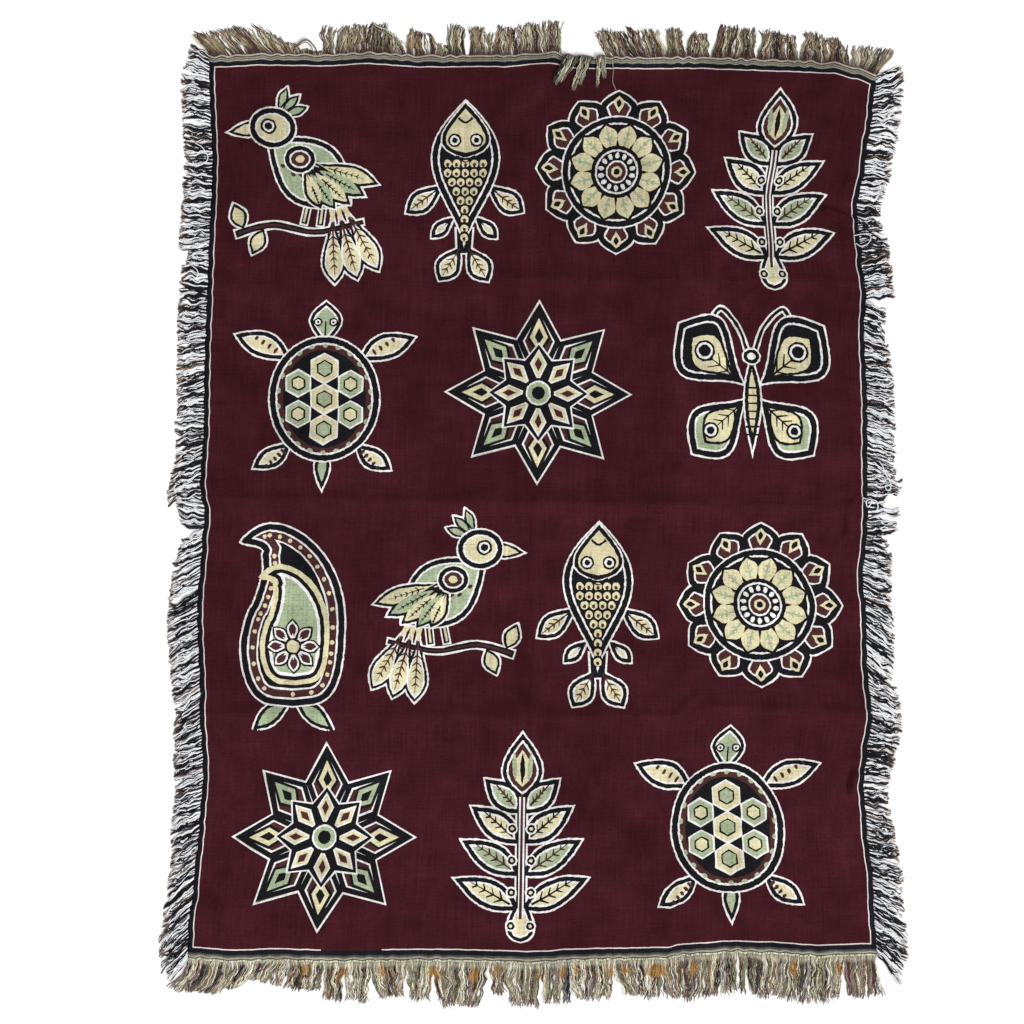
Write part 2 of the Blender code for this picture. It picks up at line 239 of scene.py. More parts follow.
# The end edges are drawn in by the warp knots: length of a scallop, depth, height, reach
SCALLOP_LENGTH = 25.0
TOP_SCALLOP_DEPTH = 2.3
BOTTOM_SCALLOP_DEPTH = 1.5
SCALLOP_HEIGHT = 0.8
SCALLOP_REACH = 24.0
SCALLOP_SLIP_SEED = 5
SCALLOP_DEPTH_SEED = 6
# The side edges wave a little
SIDE_WAVE_LENGTH = 31.0
SIDE_WAVE_DEPTH = 0.8
SIDE_WAVE_SEED = 9

# Border, measured in from the edges
SIDE_BLACK = 7.6
SIDE_WHITE = 9.15
END_STITCH = 2.6
END_GAP = 4.0
END_GREY = 10.4
END_BLACK = 17.5
END_WHITE = 19.2

# Lighter lines within the grey band, measured in from the edge; at the bottom end the
# band darkens instead of the inner line
GREY_LINES = (5.4, 8.8)
GREY_LINE_HALF_WIDTH = 0.6
GREY_LINE_WAVE = 0.6
BOTTOM_DUSK = 7.6
# Where the bottom end's white line is hidden: from, to
HIDDEN_LINE = (-316, -225)
# How far the border lines wander, and the scale of their noise
WANDER = 1.3
WANDER_SCALE = 38
# The row of knots by the bottom edge: scale of their noise, and where it turns dark
KNOT_SCALE = 420
KNOT_LIMIT = 0.52

# Yarns of the cloth: colour, and colour of the flecks of the yarn beneath
MAROON, BLACK, WHITE, CREAM, SAGE, BROWN = range(6)
YARNS = (
    ((66, 26, 33), (47, 20, 26)),
    ((25, 26, 29), (43, 37, 41)),
    ((242, 241, 238), (196, 190, 184)),
    ((222, 214, 174), (178, 168, 124)),
    ((170, 184, 150), (120, 132, 100)),
    ((78, 46, 46), (48, 30, 33)),
)
TOP_STITCH = (240, 224, 206)
BOTTOM_STITCH = (204, 203, 176)
KNOT_SHADE = (128, 128, 110)
GREY_BAND = (117, 117, 107)
GREY_BAND_LINE = (168, 163, 146)
GAP_GREY = (66, 62, 58)
DUSK_GREY = (74, 72, 68)
BAND_BLACK = (28, 28, 33)
LINE_WHITE = (230, 220, 216)

# Motifs: spacing of their outlines' points, how unsteady the woven outlines are, how far a
# motif reaches from its middle, and how far a mitred corner may stick out when a shape is grown
STEP = 2.6
OUTLINE_JITTER = 0.45
MOTIF_REACH = 130
MOTIF_SEED = 7
INWARD_MITRE = 6.0
OUTWARD_MITRE = 2.2
# Bands that many motifs share: how far inside the outline, and the yarn
EDGE = ((0, WHITE), (2.05, BLACK))
INNER_EDGE = ((0, WHITE), (1.9, BLACK))
EYE = ((0, BLACK), (2.5, WHITE), (5, BLACK))

# Yarn colours of the fringes
OLIVE = (144, 142, 112)
PALE = (220, 213, 184)
IVORY = (240, 235, 212)
TAN = (150, 122, 96)
MAUVE = (150, 124, 130)
UMBER = (92, 62, 52)
PLUM = (78, 46, 52)
COAL = (36, 35, 38)
SLATE = (96, 104, 108)
GOLD = (196, 136, 50)
DULL_GOLD = (170, 146, 92)
SNOW = (244, 246, 250)
INK = (20, 20, 25)
SAGE_GREY = (160, 162, 146)
# Painted shade at the top fringe's roots, where the yarns crowd by the cloth's edge
TOP_PAINTED_ROOT_SHADE = (56, 35, 34)
BOTTOM_ROOT = (236, 234, 204)
SIDE_TIP = (150, 112, 72)
# Blends: colour, its share of the yarns
TOP_BLEND = ((OLIVE, 20), (PALE, 22), (TAN, 20), (UMBER, 14), (PLUM, 10), (COAL, 14))
BOTTOM_BLEND = (
    (OLIVE, 21), (PALE, 19), (IVORY, 11), (TAN, 11), (MAUVE, 9), (SLATE, 4), (UMBER, 7), (PLUM, 5),
    (COAL, 13),
)
FOLDED_BLEND = ((SAGE_GREY, 34), (PALE, 20), (OLIVE, 12), (COAL, 24), (SLATE, 6), (UMBER, 4))
# The side blend's ink yarns are partly the fringe's own black strands and partly painted shade in the
# gaps between the white strands
SIDE_BLEND = ((SNOW, 18), (INK, 70), (TAN, 6), (PLUM, 6))
TIP_BLEND = ((UMBER, 5), (PLUM, 3), (TAN, 2), (COAL, 2))
# Where the end fringes' yarns are tinted, dull gold at the top and gold at the bottom: from, to
TOP_GILT = ((-505, -478), (-450, -438), (-412, -402), (-300, -294), (-212, -182), (196, 204))
BOTTOM_GILT = (
    (-347, -332), (-284, -276), (-231, -221), (-156, -140), (-93, -81), (-60, -48), (9, 17),
    (42, 49), (60, 68), (112, 122), (132, 143), (170, 200), (236, 247), (386, 398), (454, 464),
)
# Share of yarns that have a colour of their own within their bundle
OWN_COLOUR = 0.30
# Share of the side yarns' bundles that differ from the one before
TURN_SHARE = 0.93
# Share of the side yarns whose tips have taken on the dye of the end yarns
DYED_TIPS = 0.5
# How deep the tints go: gold at the top and bottom, tips at the top, bottom and sides, and the painted
# shade at the top roots
TOP_GILT_DEPTH = 0.7
BOTTOM_GILT_DEPTH = 0.8
TOP_TIP_DEPTH = 0.6
BOTTOM_TIP_DEPTH = 0.55
SIDE_TIP_DEPTH = 0.6
TOP_PAINTED_SHADE_DEPTH = 0.93
# Where along the yarns they lie: share of the length and spread, start of the tips, reach of the
# painted shade at the top roots
BOTTOM_GILT_AT = (0.32, 0.13)
BOTTOM_ROOT_AT = (0.05, 0.07)
TIP_FROM = 0.75
TOP_PAINTED_SHADE_REACH = 0.36

# Sideways flow that neighbouring yarns share: length of its swells, size
END_FLOW = ((30, 2.2), (15, 0.9))
SIDE_FLOW = ((25, 2.5), (12, 1.1))
# Yarns for each millimetre, lock width, width of a bundle of like yarns, size of the kinks that
# a bundle shares, each yarn's own share of kink and lean, how uneven the lengths are, how much
# the tone varies from yarn to yarn, yarn thickness, how late along the yarns their lean sets in,
# seed of the random draws
Fringe = namedtuple("Fringe", "tufts blend flow density lock bundle kink frizz ragged fleck "
                              "thick late seed")
FRINGES = {
    "top": Fringe(TOP_TUFTS, TOP_BLEND, END_FLOW,
                  1.9, 12.0, 1.7, 0.9, 0.5, 0.7, 0.40, 1.45, 1.0, 11),
    "bottom": Fringe(BOTTOM_TUFTS, BOTTOM_BLEND, END_FLOW,
                     1.9, 13.0, 1.9, 1.0, 0.6, 0.8, 0.50, 1.5, 1.8, 12),
    "left": Fringe(LEFT_TUFTS, SIDE_BLEND, SIDE_FLOW,
                   1.55, 13.0, 2.8, 0.9, 0.3, 0.3, 0.12, 2.0, 1.0, 13),
    "right": Fringe(RIGHT_TUFTS, SIDE_BLEND, SIDE_FLOW,
                    1.55, 13.0, 2.8, 1.1, 0.3, 0.45, 0.12, 2.0, 1.0, 14),
}
# The yarns of one fringe: place of the root, lock, bundle, middle of the lock, length, and how
# far sideways the tip lies
Yarns = namedtuple("Yarns", "place of_lock of_bundle middle length travel")
YARN_SIDES = 4
YARN_RINGS = 11
# How far the bounds between locks stray, as a share of a lock's width, and the bounds between
# bundles, in bundles, with the length of the swells they follow
LOCK_STRAY = 0.28
BUNDLE_STRAY = 0.45
BUNDLE_STRAY_LENGTH = 5
# Lengths as shares of the tuft's: of the locks, and of the yarns in a lock (least, most likely, most)
LOCK_LENGTHS = (0.90, 1.03)
YARN_LENGTHS = (0.76, 1.0, 1.06)
# Lean as a share of the length: of locks, bundles and yarns, and swaying along the edge
LOCK_LEAN = 0.035
BUNDLE_LEAN = 0.06
YARN_LEAN = 0.07
SWAY = 0.06
SWAY_LENGTH = 55
SWAY_SEED = 50
# How much yarns gather towards the middle of their lock, how far locks and yarns bow, and how
# far the tips of a bundle hook, from which share of their length
GATHER = 0.7
LOCK_BOW = 1.5
YARN_BOW = 1.2
HOOK = 3.0
HOOK_FROM = 0.6
# Kinks: size and length of each wave as shares of the kinks', spreads of length and size, how
# long they are in a bundle and in a yarn, and how far from the edge they are full
KINK_WAVES = ((1.0, 1.0), (0.55, 0.52))
KINK_LENGTHS = (0.75, 1.35)
KINK_SIZES = (0.5, 1.3)
BUNDLE_KINK_LENGTH = 22
YARN_KINK_LENGTH = 17
KINK_REACH = 12
# The pile of yarns: how far from the edge it is full, how much of a yarn's height is its
# bundle's and how much its own, how much the height kinks, and how far yarns slope to the floor
PILE_REACH = 7
BUNDLE_LAYER = 0.7
YARN_LAYER = 0.3
HEIGHT_KINK = 0.35
SLOPE_REACH = 14
YARN_SPACING = 0.37
ROOT_DEPTH = 2.0
PILE_HEIGHT = 3.4
# Share of its length from which a yarn frays thinner, over which share, and by how much
FRAY_FROM = 0.8
FRAY_LENGTH = 0.2
FRAY = 0.5

# Path of the yarns that are folded back: out from the edge, height over the cloth's underside
FOLDED_PATH = (
    (-4, 1.0), (-1, 1.2), (1.6, 2.6), (1.8, 4.6), (-1, 6.0), (-7, 5.8), (-16, 4.6), (-30, 3.6),
    (-46, 3.0),
)
# Locks of the folded tuft: root from, root to, tip, width at the tip, share of the reach
FOLDED_LOCKS = (
    (34, 49, 17, 6, 1.00),
    (47, 60, 28, 6, 0.90),
    (62, 72, 47, 6, 1.20),
    (71, 80, 57, 5, 1.00),
    (84, 90, 84, 3, 1.10),
    (88, 96, 95, 4, 0.80),
)
FOLDED_SHARE = 0.85
FOLDED_BUNDLE = 2
FOLDED_PILE = 2.2
FOLDED_KINK = 1.4
FOLDED_KINK_LENGTH = 24

# Loose threads: side, colour, thickness, then place along the edge, out from it, height
THREAD_LIFT = 2.5
THREAD_SMOOTH = 8
THREAD_RINGS = 36
THREADS = (
    ("right", SNOW, 2.0, ((13, -9, 3), (11, -2, 5), (9, 8, 7), (5, 14, 6), (-3, 16, 5), (-8, 12, 4),
                          (-9, 6, 4))),
    ("right", SNOW, 2.0, ((9, -6, 3), (4, -3, 5), (-2, 0, 6), (4, 4, 8), (10, 3, 8), (8, -3, 6),
                          (3, -2, 4))),
    ("right", SNOW, 1.6, ((72, 16, 6), (62, 22, 7), (50, 28, 6), (38, 33, 6), (28, 35, 5),
                          (25, 30, 4), (30, 27, 4))),
    ("right", SNOW, 1.5, ((436, -10, 3), (438, 4, 6), (434, 16, 7), (424, 12, 6), (418, 0, 5),
                          (424, -8, 3))),
    ("right", INK, 1.2, ((486, 18, 6), (480, 26, 7), (472, 28, 6), (470, 20, 5), (476, 16, 5))),
    ("left", SNOW, 1.6, ((560, 24, 6), (552, 12, 7), (536, 6, 6), (526, 14, 6), (524, 26, 5),
                         (532, 30, 4))),
    ("left", SNOW, 1.6, ((366, 26, 6), (356, 14, 7), (346, 16, 6), (342, 28, 5))),
    ("top", UMBER, 2.4, ((-385, 4, 3), (-379, 14, 4), (-364, 21, 4), (-353, 14, 4), (-348, 5, 3))),
    ("top", TAN, 1.8, ((-390, 5, 3), (-380, 11, 4), (-366, 17, 4), (-357, 12, 4), (-355, 6, 3))),
    ("top", PALE, 1.5, ((-262, 46, 3), (-246, 38, 4), (-228, 28, 4), (-211, 15, 3))),
    ("top", OLIVE, 1.5, ((-264, 42, 3), (-247, 33, 4), (-230, 24, 4), (-214, 12, 3))),
    ("top", SAGE_GREY, 1.2, ((107, -4, 6), (109, -22, 4), (108, -40, 3.4), (113, -56, 3.2))),
)

# Weave pitches across and along, and how far the yarns slip from them, in millimetres; the
# scales of this and all the noises below are in swells for each metre
WARP_PITCH = 1.7
PICK_PITCH = 2.2
SLIP = 0.9
SLIP_SCALE = 120
RIB_DEPTH = 0.35
# Flecks of the yarn beneath
FLECK_SCALE = 150
FLECK_LIMIT = 0.56
FLECK_DEPTH = 0.5
CLOTH_LINT_SCALE = 700
YARN_LINT_SCALE = 500
# Twist of the fringe yarns in millimetres, how uneven their tone is, depth between their plies
END_TWIST_PITCH = 4.5
END_FUZZ = 0.16
SIDE_TWIST_PITCH = 3.6
SIDE_FUZZ = 0.10
GROOVE_DEPTH = 0.25
# Painted light: the cloth is painted a little lighter towards its bottom end, where the light is
# stronger, and darker towards its top: change for each millimetre
PAINTED_LIGHT_ALONG = 0.00017
# Uneven tone of the cloth: scale, detail, stretch, depth
MOTTLES = (
    (2.4, 2.0, (1.0, 1.0, 1.0), 0.34),
    (9, 2.0, (1.0, 1.0, 1.0), 0.30),
    (24, 4.0, (1.0, 1.0, 1.0), 0.50),
    (60, 2.0, (6.0, 0.25, 1.0), 0.36),
    (60, 2.0, (0.25, 6.0, 1.0), 0.24),
)

# Camera in metres, from the middle of the lying cloth's rectangle
CAMERA_LENS = 50.0
CAMERA_DISTANCE = 2.2116
CAMERA_ELEVATION = 86.3
CAMERA_TARGET = (-0.036, -0.0205, 0.0)
FLOOR_REACH = 8.0
SKY_STRENGTH = 0.50
SOURCE_STRENGTH = 2.58
SOURCE_WIDTH = 24.0
SOURCE_FROM = (0.5, -0.8, 1.0)


def place(points, x, y, turn=0.0):
    """The points turned by an angle in degrees and moved to (x, y)."""
    cos, sin = math.cos(math.radians(turn)), math.sin(math.radians(turn))
    return [(x + px * cos - py * sin, y + px * sin + py * cos) for px, py in points]


def oval(x, y, wide, tall, turn=0.0):
    """An ellipse of the given full width and height."""
    count = max(10, round(math.pi * (wide + tall) / 2 / STEP))
    angles = [math.tau * step / count for step in range(count)]
    return place([(wide / 2 * math.cos(a), tall / 2 * math.sin(a)) for a in angles], x, y, turn)


def petal(x, y, length, wide, turn=0.0, belly=0.5, bend=0.0):
    """A leaf shape that grows from (x, y), widest at the belly's share of its length."""
    count = max(5, round(length / STEP))
    power = math.log(0.5) / math.log(belly)
    right, left = [], []
    for step in range(count + 1):
        share = step / count
        half = wide / 2 * math.sin(math.pi * share ** power)
        middle = bend * share * share
        right.append((middle + half, length * share))
        left.append((middle - half, length * share))
    return place(right + left[-2:0:-1], x, y, turn)


def block(x, y, wide, tall, turn=0.0):
    """A rectangle about (x, y)."""
    w, t = wide / 2, tall / 2
    return place([(-w, -t), (w, -t), (w, t), (-w, t)], x, y, turn)


def star(x, y, outer, inner, points, turn=0.0):
    """A star, or a polygon where its inner radius is that of its sides."""
    ring = []
    for step in range(points * 2):
        radius = inner if step % 2 else outer
        angle = math.pi * step / points + math.pi / 2
        ring.append((radius * math.cos(angle), radius * math.sin(angle)))
    return place(ring, x, y, turn)


def kite(x, y, length, wide, turn=0.0, belly=0.5):
    """A diamond that grows from (x, y)."""
    b = length * belly
    return place([(0, 0), (wide / 2, b), (0, length), (-wide / 2, b)], x, y, turn)


def outline_distance(points, outline):
    """Distance of each point from the nearest side of a closed outline."""
    start = np.array(outline)
    run = np.roll(start, -1, axis=0) - start
    offset = np.array(points)[:, None, :] - start[None, :, :]
    size = np.maximum((run ** 2).sum(axis=1), 1e-12)
    share = np.clip((offset * run).sum(axis=2) / size, 0.0, 1.0)
    return np.sqrt(((offset - run * share[:, :, None]) ** 2).sum(axis=2)).min(axis=1)


def grow(points, distance):
    """The closed shape with its outline moved outward by a distance, or inward if negative."""
    if not distance:
        return points
    outline = np.array(points)
    after = np.roll(outline, -1, axis=0) - outline
    after /= np.maximum(np.hypot(*after.T), 1e-9)[:, None]
    x, y = outline.T
    turn = np.sum(x * np.roll(y, -1) - y * np.roll(x, -1))
    normal = np.stack((after[:, 1], -after[:, 0]), axis=1) * np.sign(turn)
    normal = normal + np.roll(normal, 1, axis=0)
    size = np.maximum(np.hypot(*normal.T), 1e-9)[:, None]
    sharpest = INWARD_MITRE if distance < 0 else OUTWARD_MITRE
    grown = outline + normal / size * distance * np.minimum(2.0 / size, sharpest)
    if distance < 0:
        grown = grown[outline_distance(grown, outline) >= -distance * 0.93]
    return [tuple(point) for point in grown]


def curve(points, smooth=6):
    """A smooth open line through the points."""
    ends = [points[0]] + list(points) + [points[-1]]
    line = []
    for p, q, r, s in zip(ends, ends[1:], ends[2:], ends[3:]):
        for step in range(smooth):
            t = step / smooth
            line.append(tuple(
                0.5 * (2 * b + (c - a) * t + (2 * a - 5 * b + 4 * c - d) * t * t
                       + (3 * b - a - 3 * c + d) * t ** 3)
                for a, b, c, d in zip(p, q, r, s)
            ))
    line.append(points[-1])
    return line


def both_sides(line, halves):
    """Points to the right and to the left of an open line, each its half width away."""
    right, left = [], []
    last = len(line) - 1
    for index, ((x, y), half) in enumerate(zip(line, halves)):
        bx, by = line[max(index - 1, 0)]
        ax, ay = line[min(index + 1, last)]
        size = math.hypot(ax - bx, ay - by) or 1.0
        nx, ny = (ay - by) / size * half, -(ax - bx) / size * half
        right.append((x + nx, y + ny))
        left.append((x - nx, y - ny))
    return right, left


def stroke(points, wide, tip=None):
    """A band along an open line, its width running from wide to tip."""
    tip = wide if tip is None else tip
    last = len(points) - 1
    halves = [(wide + (tip - wide) * index / last) / 2 for index in range(len(points))]
    right, left = both_sides(points, halves)
    return right + left[::-1]


def banded(art, shapes, bands):
    """Draw the shapes once for each band: how far inside the outline, and its yarn."""
    for inset, yarn in bands:
        for shape in shapes:
            inner = grow(shape, -inset)
            if len(inner) > 2:
                art.append((yarn, inner))


def both(shapes):
    """The shapes and their mirror images across the upright axis."""
    return shapes + [[(-x, y) for x, y in shape[::-1]] for shape in shapes]


def away(x, y, turn, out):
    """The point that lies so far out from (x, y), at a turn from upright."""
    return place([(0, out)], x, y, turn)[0]


def vein(art, x, y, length, turn, yarn, ribs=4, wide=2.2, spread=0.20):
    """A leaf's midrib with short ribs on both sides."""
    lines = [[(0, 0), (0, length)]]
    for rib in range(1, ribs + 1):
        base = length * rib / (ribs + 1.4)
        side = length * spread * (1 - 0.45 * rib / ribs)
        lines.append([(0, base), (side, base + side * 0.9)])
        lines.append([(0, base), (-side, base + side * 0.9)])
    for line in lines:
        art.append((yarn, place(stroke(line, wide, wide * 0.5), x, y, turn)))


def rosette():
    """An open flower with two rings of petals about a seeded middle."""
    art = []
    turns = [30 * step for step in range(12)]
    outer = [petal(0, 0, 104, 50, turn, 0.78) for turn in turns]
    banded(art, outer, EDGE + ((9.5, WHITE), (11.5, BROWN)))
    for turn in turns:
        seed = petal(*away(0, 0, turn, 74), 22, 13, turn, 0.6)
        banded(art, [seed], ((0, CREAM), (3, BLACK)))
    banded(art, [oval(0, 0, 142, 142)], INNER_EDGE + ((9, WHITE), (11.4, BLACK)))
    inner = [petal(0, 0, 64, 30, turn + 15, 0.72) for turn in turns]
    banded(art, inner, ((0, BLACK), (3.2, CREAM)))
    for turn in turns:
        vein(art, *away(0, 0, turn + 15, 34), 24, turn + 15, SAGE, 2, 3.0, 0.24)
    banded(art, [oval(0, 0, 66, 66)], ((0, BLACK), (5, WHITE), (7.4, BLACK)))
    for step in range(14):
        turn = 360 / 14 * step
        art.append((WHITE, oval(*away(0, 0, turn, 20.5), 5.5, 8, turn)))
    banded(art, [oval(0, 0, 28, 28)], ((0, WHITE), (2, BROWN), (7, CREAM)))
    art.append((BLACK, oval(0, 0, 8, 8)))
    return art


def spray():
    """An upright stem with paired leaves, berries and a bud."""
    art = []
    pairs = ((-84, 88, -62, CREAM), (-46, 84, -56, SAGE), (-10, 76, -50, CREAM), (24, 62, -42, SAGE))
    leaves = [petal(0, height, length, 36, turn, 0.45, 6) for height, length, turn, _ in pairs]
    bud = petal(0, 40, 80, 50, 0, 0.42)
    root = petal(0, -122, 60, 34, 0, 0.3)
    stem = stroke([(0, -104), (0, -30), (0, 60)], 15)
    banded(art, both(leaves) + [bud, root, stem], EDGE)
    for leaf, (height, length, turn, yarn) in zip(leaves, pairs):
        banded(art, both([leaf]), ((7.0, WHITE), (9.2, yarn)))
        ribs = BLACK if yarn == CREAM else BROWN
        for lean in (turn, -turn):
            vein(art, *away(0, height, lean, 14), length - 30, lean, ribs, 4, 2.4, 0.15)
    banded(art, [bud], ((6.5, WHITE), (8.6, BROWN), (13.5, CREAM)))
    for step in (-1, 0, 1):
        art.append((SAGE if step else BLACK, petal(step * 7.5, 58 + 3 * abs(step), 36, 6, -step * 4)))
    banded(art, [root], ((6, WHITE), (8, CREAM)))
    art.append((WHITE, stroke([(0, -92), (0, 44)], 7)))
    art.append((BROWN, stroke([(0, -94), (0, 46)], 3.4)))
    for height in (-104, -66, -30, 6):
        banded(art, both([oval(11, height + 2, 13, 13)]), ((0, WHITE), (1.8, BLACK), (4.4, CREAM)))
    return art


def fish():
    """A fish seen from the side, with rows of scales."""
    art = []
    body = petal(0, -70, 186, 86, 0, 0.60)
    tail = [petal(0, -62, 60, 34, 148, 0.62), petal(0, -62, 60, 34, -148, 0.62)]
    fins = both([petal(20, 14, 70, 32, -128, 0.62), petal(8, -26, 48, 22, -134, 0.62)])
    root = stroke([(0, -44), (0, -78)], 24, 20)
    banded(art, [body, root] + tail + fins, EDGE)
    banded(art, tail + fins, ((6.5, WHITE), (8.4, CREAM)))
    for turn in (148, -148):
        vein(art, *away(0, -62, turn, 10), 40, turn, BROWN, 4, 2.2, 0.2)
    for x, turn in ((20, -128), (-20, 128)):
        vein(art, *away(x, 14, turn, 26), 34, turn, BROWN, 3, 2.4, 0.2)
    banded(art, [body], INNER_EDGE + ((8.5, WHITE), (10.7, BLACK)))
    for row in range(9):
        y = 36 - row * 11.5
        share = (y + 70) / 186
        half = 43 * math.sin(math.pi * share ** (math.log(0.5) / math.log(0.60))) - 11
        count = max(1, int(half * 2 / 11))
        for scale in range(count):
            x = (-(count - 1) / 2 + scale) * 11
            art.append((BLACK, oval(x, y, 12.5, 14)))
            art.append((CREAM, oval(x, y - 1.2, 9.6, 10.5)))
            art.append((BROWN, oval(x, y - 2.5, 4.2, 5)))
    banded(art, [petal(0, 42, 72, 62, 0, 0.32)], ((0, WHITE), (1.8, BLACK), (6.5, CREAM)))
    banded(art, both([oval(13.5, 64, 17, 17)]), EYE)
    art.append((BLACK, stroke(curve([(-9, 92), (0, 86), (9, 92)]), 3)))
    for step in range(4):
        half, drop = 17 - step * 2.5, step * 3.4
        line = curve([(-half, 52 - drop), (0, 47 - drop), (half, 52 - drop)])
        art.append((BLACK, stroke(line, 1.7)))
    return art


def butterfly():
    """A butterfly with open wings."""
    art = []
    upper = petal(2, 8, 112, 82, -52, 0.66, -8)
    lower = petal(2, 2, 98, 66, -132, 0.64, 6)
    body = petal(0, -72, 122, 22, 0, 0.55)
    feeler = stroke(curve([(3, 46), (14, 78), (34, 100), (44, 92)]), 7.5, 8)
    banded(art, both([upper, lower, feeler]) + [body], EDGE)
    banded(art, both([upper]), ((8.5, WHITE), (10.7, BLACK)))
    banded(art, both([lower]), ((8.5, WHITE), (10.7, SAGE)))
    banded(art, both([petal(14, 17, 76, 46, -52, 0.66, -6)]), ((0, BLACK), (3, CREAM)))
    banded(art, both([petal(10, -6, 66, 40, -132, 0.64, 5)]), ((0, BLACK), (3, CREAM)))
    for turn, x, y, length in ((-52, 20, 22, 58), (-132, 14, -10, 50)):
        for sign in (1, -1):
            vein(art, x * sign, y, length, turn * sign, BLACK, 4, 2.2, 0.24)
    banded(art, both([oval(*away(2, 8, -50, 68), 24, 24)]), EYE)
    banded(art, both([oval(*away(2, 2, -132, 62), 19, 19)]), EYE)
    banded(art, [body], INNER_EDGE + ((6, CREAM),))
    for step in range(7):
        art.append((BLACK, block(0, -44 + step * 9, 16, 2.2)))
    banded(art, [oval(0, 46, 22, 20)], INNER_EDGE + ((6, WHITE),))
    return art


def turtle():
    """A turtle seen from above."""
    art = []
    shell = oval(0, 0, 138, 158)
    flippers = both([petal(38, 46, 82, 36, -56, 0.52, 14), petal(36, -52, 62, 30, -134, 0.55, -8)])
    head = petal(0, 62, 62, 42, 0, 0.58)
    tail = petal(0, -66, 52, 22, 180, 0.35)
    banded(art, flippers + [shell, head, tail], EDGE)
    banded(art, flippers, ((7, WHITE), (9, CREAM)))
    for x, y, turn, length in ((38, 46, -56, 62), (36, -52, -134, 44)):
        for sign in (1, -1):
            for step in range(5):
                spot = (1.5 * sign, length * (0.42 + 0.15 * step))
                middle = place([spot], x * sign, y, turn * sign)[0]
                art.append((BROWN, oval(*middle, 9 - step, 4, turn * sign)))
    banded(art, [head], ((6, WHITE), (8, SAGE)))
    banded(art, both([oval(9.5, 96, 11, 11)]), ((0, BLACK), (2, WHITE), (3.8, BLACK)))
    art.append((BLACK, block(0, 86, 2.2, 22)))
    banded(art, [tail], ((6, SAGE),))
    banded(art, [shell], INNER_EDGE + ((9, WHITE), (11.4, BROWN)))
    for step in range(22):
        turn = 360 / 22 * step
        x, y = away(0, 0, turn, 1)
        art.append((SAGE, oval(x * 56.5, y * 66.5, 7, 4.5, turn)))
    art.append((BLACK, oval(0, 0, 102, 122)))
    for x, y in ((0, 0), (0, 38), (0, -38)):
        banded(art, [star(x, y, 20, 17.3, 6)], ((0, WHITE), (2, CREAM), (7.5, BLACK), (9.5, SAGE)))
    for x, y in ((32, 19), (32, -19), (-32, 19), (-32, -19)):
        banded(art, [star(x, y, 18, 15.6, 6)], ((0, WHITE), (2, SAGE), (7, BLACK), (9, CREAM)))
    return art


def bird():
    """A long-tailed bird on a twig, seen from the side."""
    art = []
    body = petal(44, -34, 134, 84, 52, 0.48)
    head = oval(-52, 60, 58, 52)
    bill = petal(-66, 60, 44, 22, 96, 0.35)
    tail = [petal(18, -8, 124, 32, -150 - step * 13, 0.76) for step in range(3)]
    crest = [petal(-48, 72, 44, 16, -22 - step * 24, 0.6) for step in range(3)]
    twig = stroke(curve([(-96, -70), (-50, -58), (0, -66), (60, -54)]), 13, 10)
    legs = [stroke([(-6, -16), (-14, -58)], 11), stroke([(10, -20), (6, -60)], 11)]
    leaf = [petal(-84, -66, 40, 24, 24, 0.5), petal(-60, -60, 40, 24, 158, 0.5)]
    banded(art, [body, head, bill, twig] + tail + crest + legs + leaf, EDGE)
    banded(art, tail, ((5, WHITE), (6.8, CREAM)))
    for turn in (-150, -163, -176):
        vein(art, *away(18, -8, turn, 46), 64, turn, BROWN, 6, 2.2, 0.12)
    banded(art, crest, ((4.5, SAGE),))
    banded(art, leaf, ((5, CREAM),))
    banded(art, [twig], ((4.6, BROWN),))
    banded(art, legs, ((4.2, CREAM),))
    banded(art, [bill], ((5, CREAM),))
    banded(art, [body], INNER_EDGE + ((7.5, WHITE), (9.6, SAGE)))
    for row in range(5):
        for step in range(4 - row % 2):
            middle = place([(-15 + step * 10 + row % 2 * 5, 64 + row * 8)], 44, -34, 52)[0]
            art.append((BROWN, oval(*middle, 4.5, 7, 52)))
    add_wing(art)
    banded(art, [head], INNER_EDGE + ((8, WHITE), (10, CREAM)))
    banded(art, [oval(-57, 62, 19, 19)], EYE)
    return art


def add_wing(art):
    """The bird's wing of long feathers, with a round shoulder."""
    wing = [petal(-20, 22, 104 - step * 9, 27, -108 - step * 12, 0.64) for step in range(5)]
    banded(art, wing[::-1], ((0, WHITE), (2.0, BLACK)))
    for step, shape in enumerate(wing):
        banded(art, [shape], ((5.2, SAGE if step % 2 else CREAM),))
    for step in range(5):
        turn = -108 - step * 12
        vein(art, *away(-20, 22, turn, 36), 46 - step * 5, turn, BLACK, 5, 1.8, 0.10)
    banded(art, [oval(-20, 22, 40, 36)], ((0, WHITE), (1.8, BLACK), (7, WHITE), (9, BROWN)))
    art.append((CREAM, oval(-20, 22, 11, 10)))


def compass_star():
    """An eight-point star of nested diamonds."""
    art = []
    turns = [45 * step for step in range(8)]
    wide = [kite(0, 0, 114, 58, turn, 0.56) for turn in turns]
    banded(art, wide, EDGE + ((8.5, WHITE), (10.5, BROWN)))
    for step, turn in enumerate(turns):
        diamond = kite(*away(0, 0, turn, 44), 56, 30, turn, 0.42)
        yarn = SAGE if step % 2 else CREAM
        banded(art, [diamond], ((0, BLACK), (3.4, yarn), (8.5, BLACK)))
    banded(art, [star(0, 0, 62, 44, 8)], INNER_EDGE)
    for turn in turns:
        diamond = kite(*away(0, 0, turn, 14), 40, 20, turn, 0.55)
        banded(art, [diamond], ((0, WHITE), (1.8, CREAM), (5, BROWN)))
    banded(art, [oval(0, 0, 38, 38)], ((0, BLACK), (4, WHITE), (6, SAGE), (11, BLACK)))
    return art


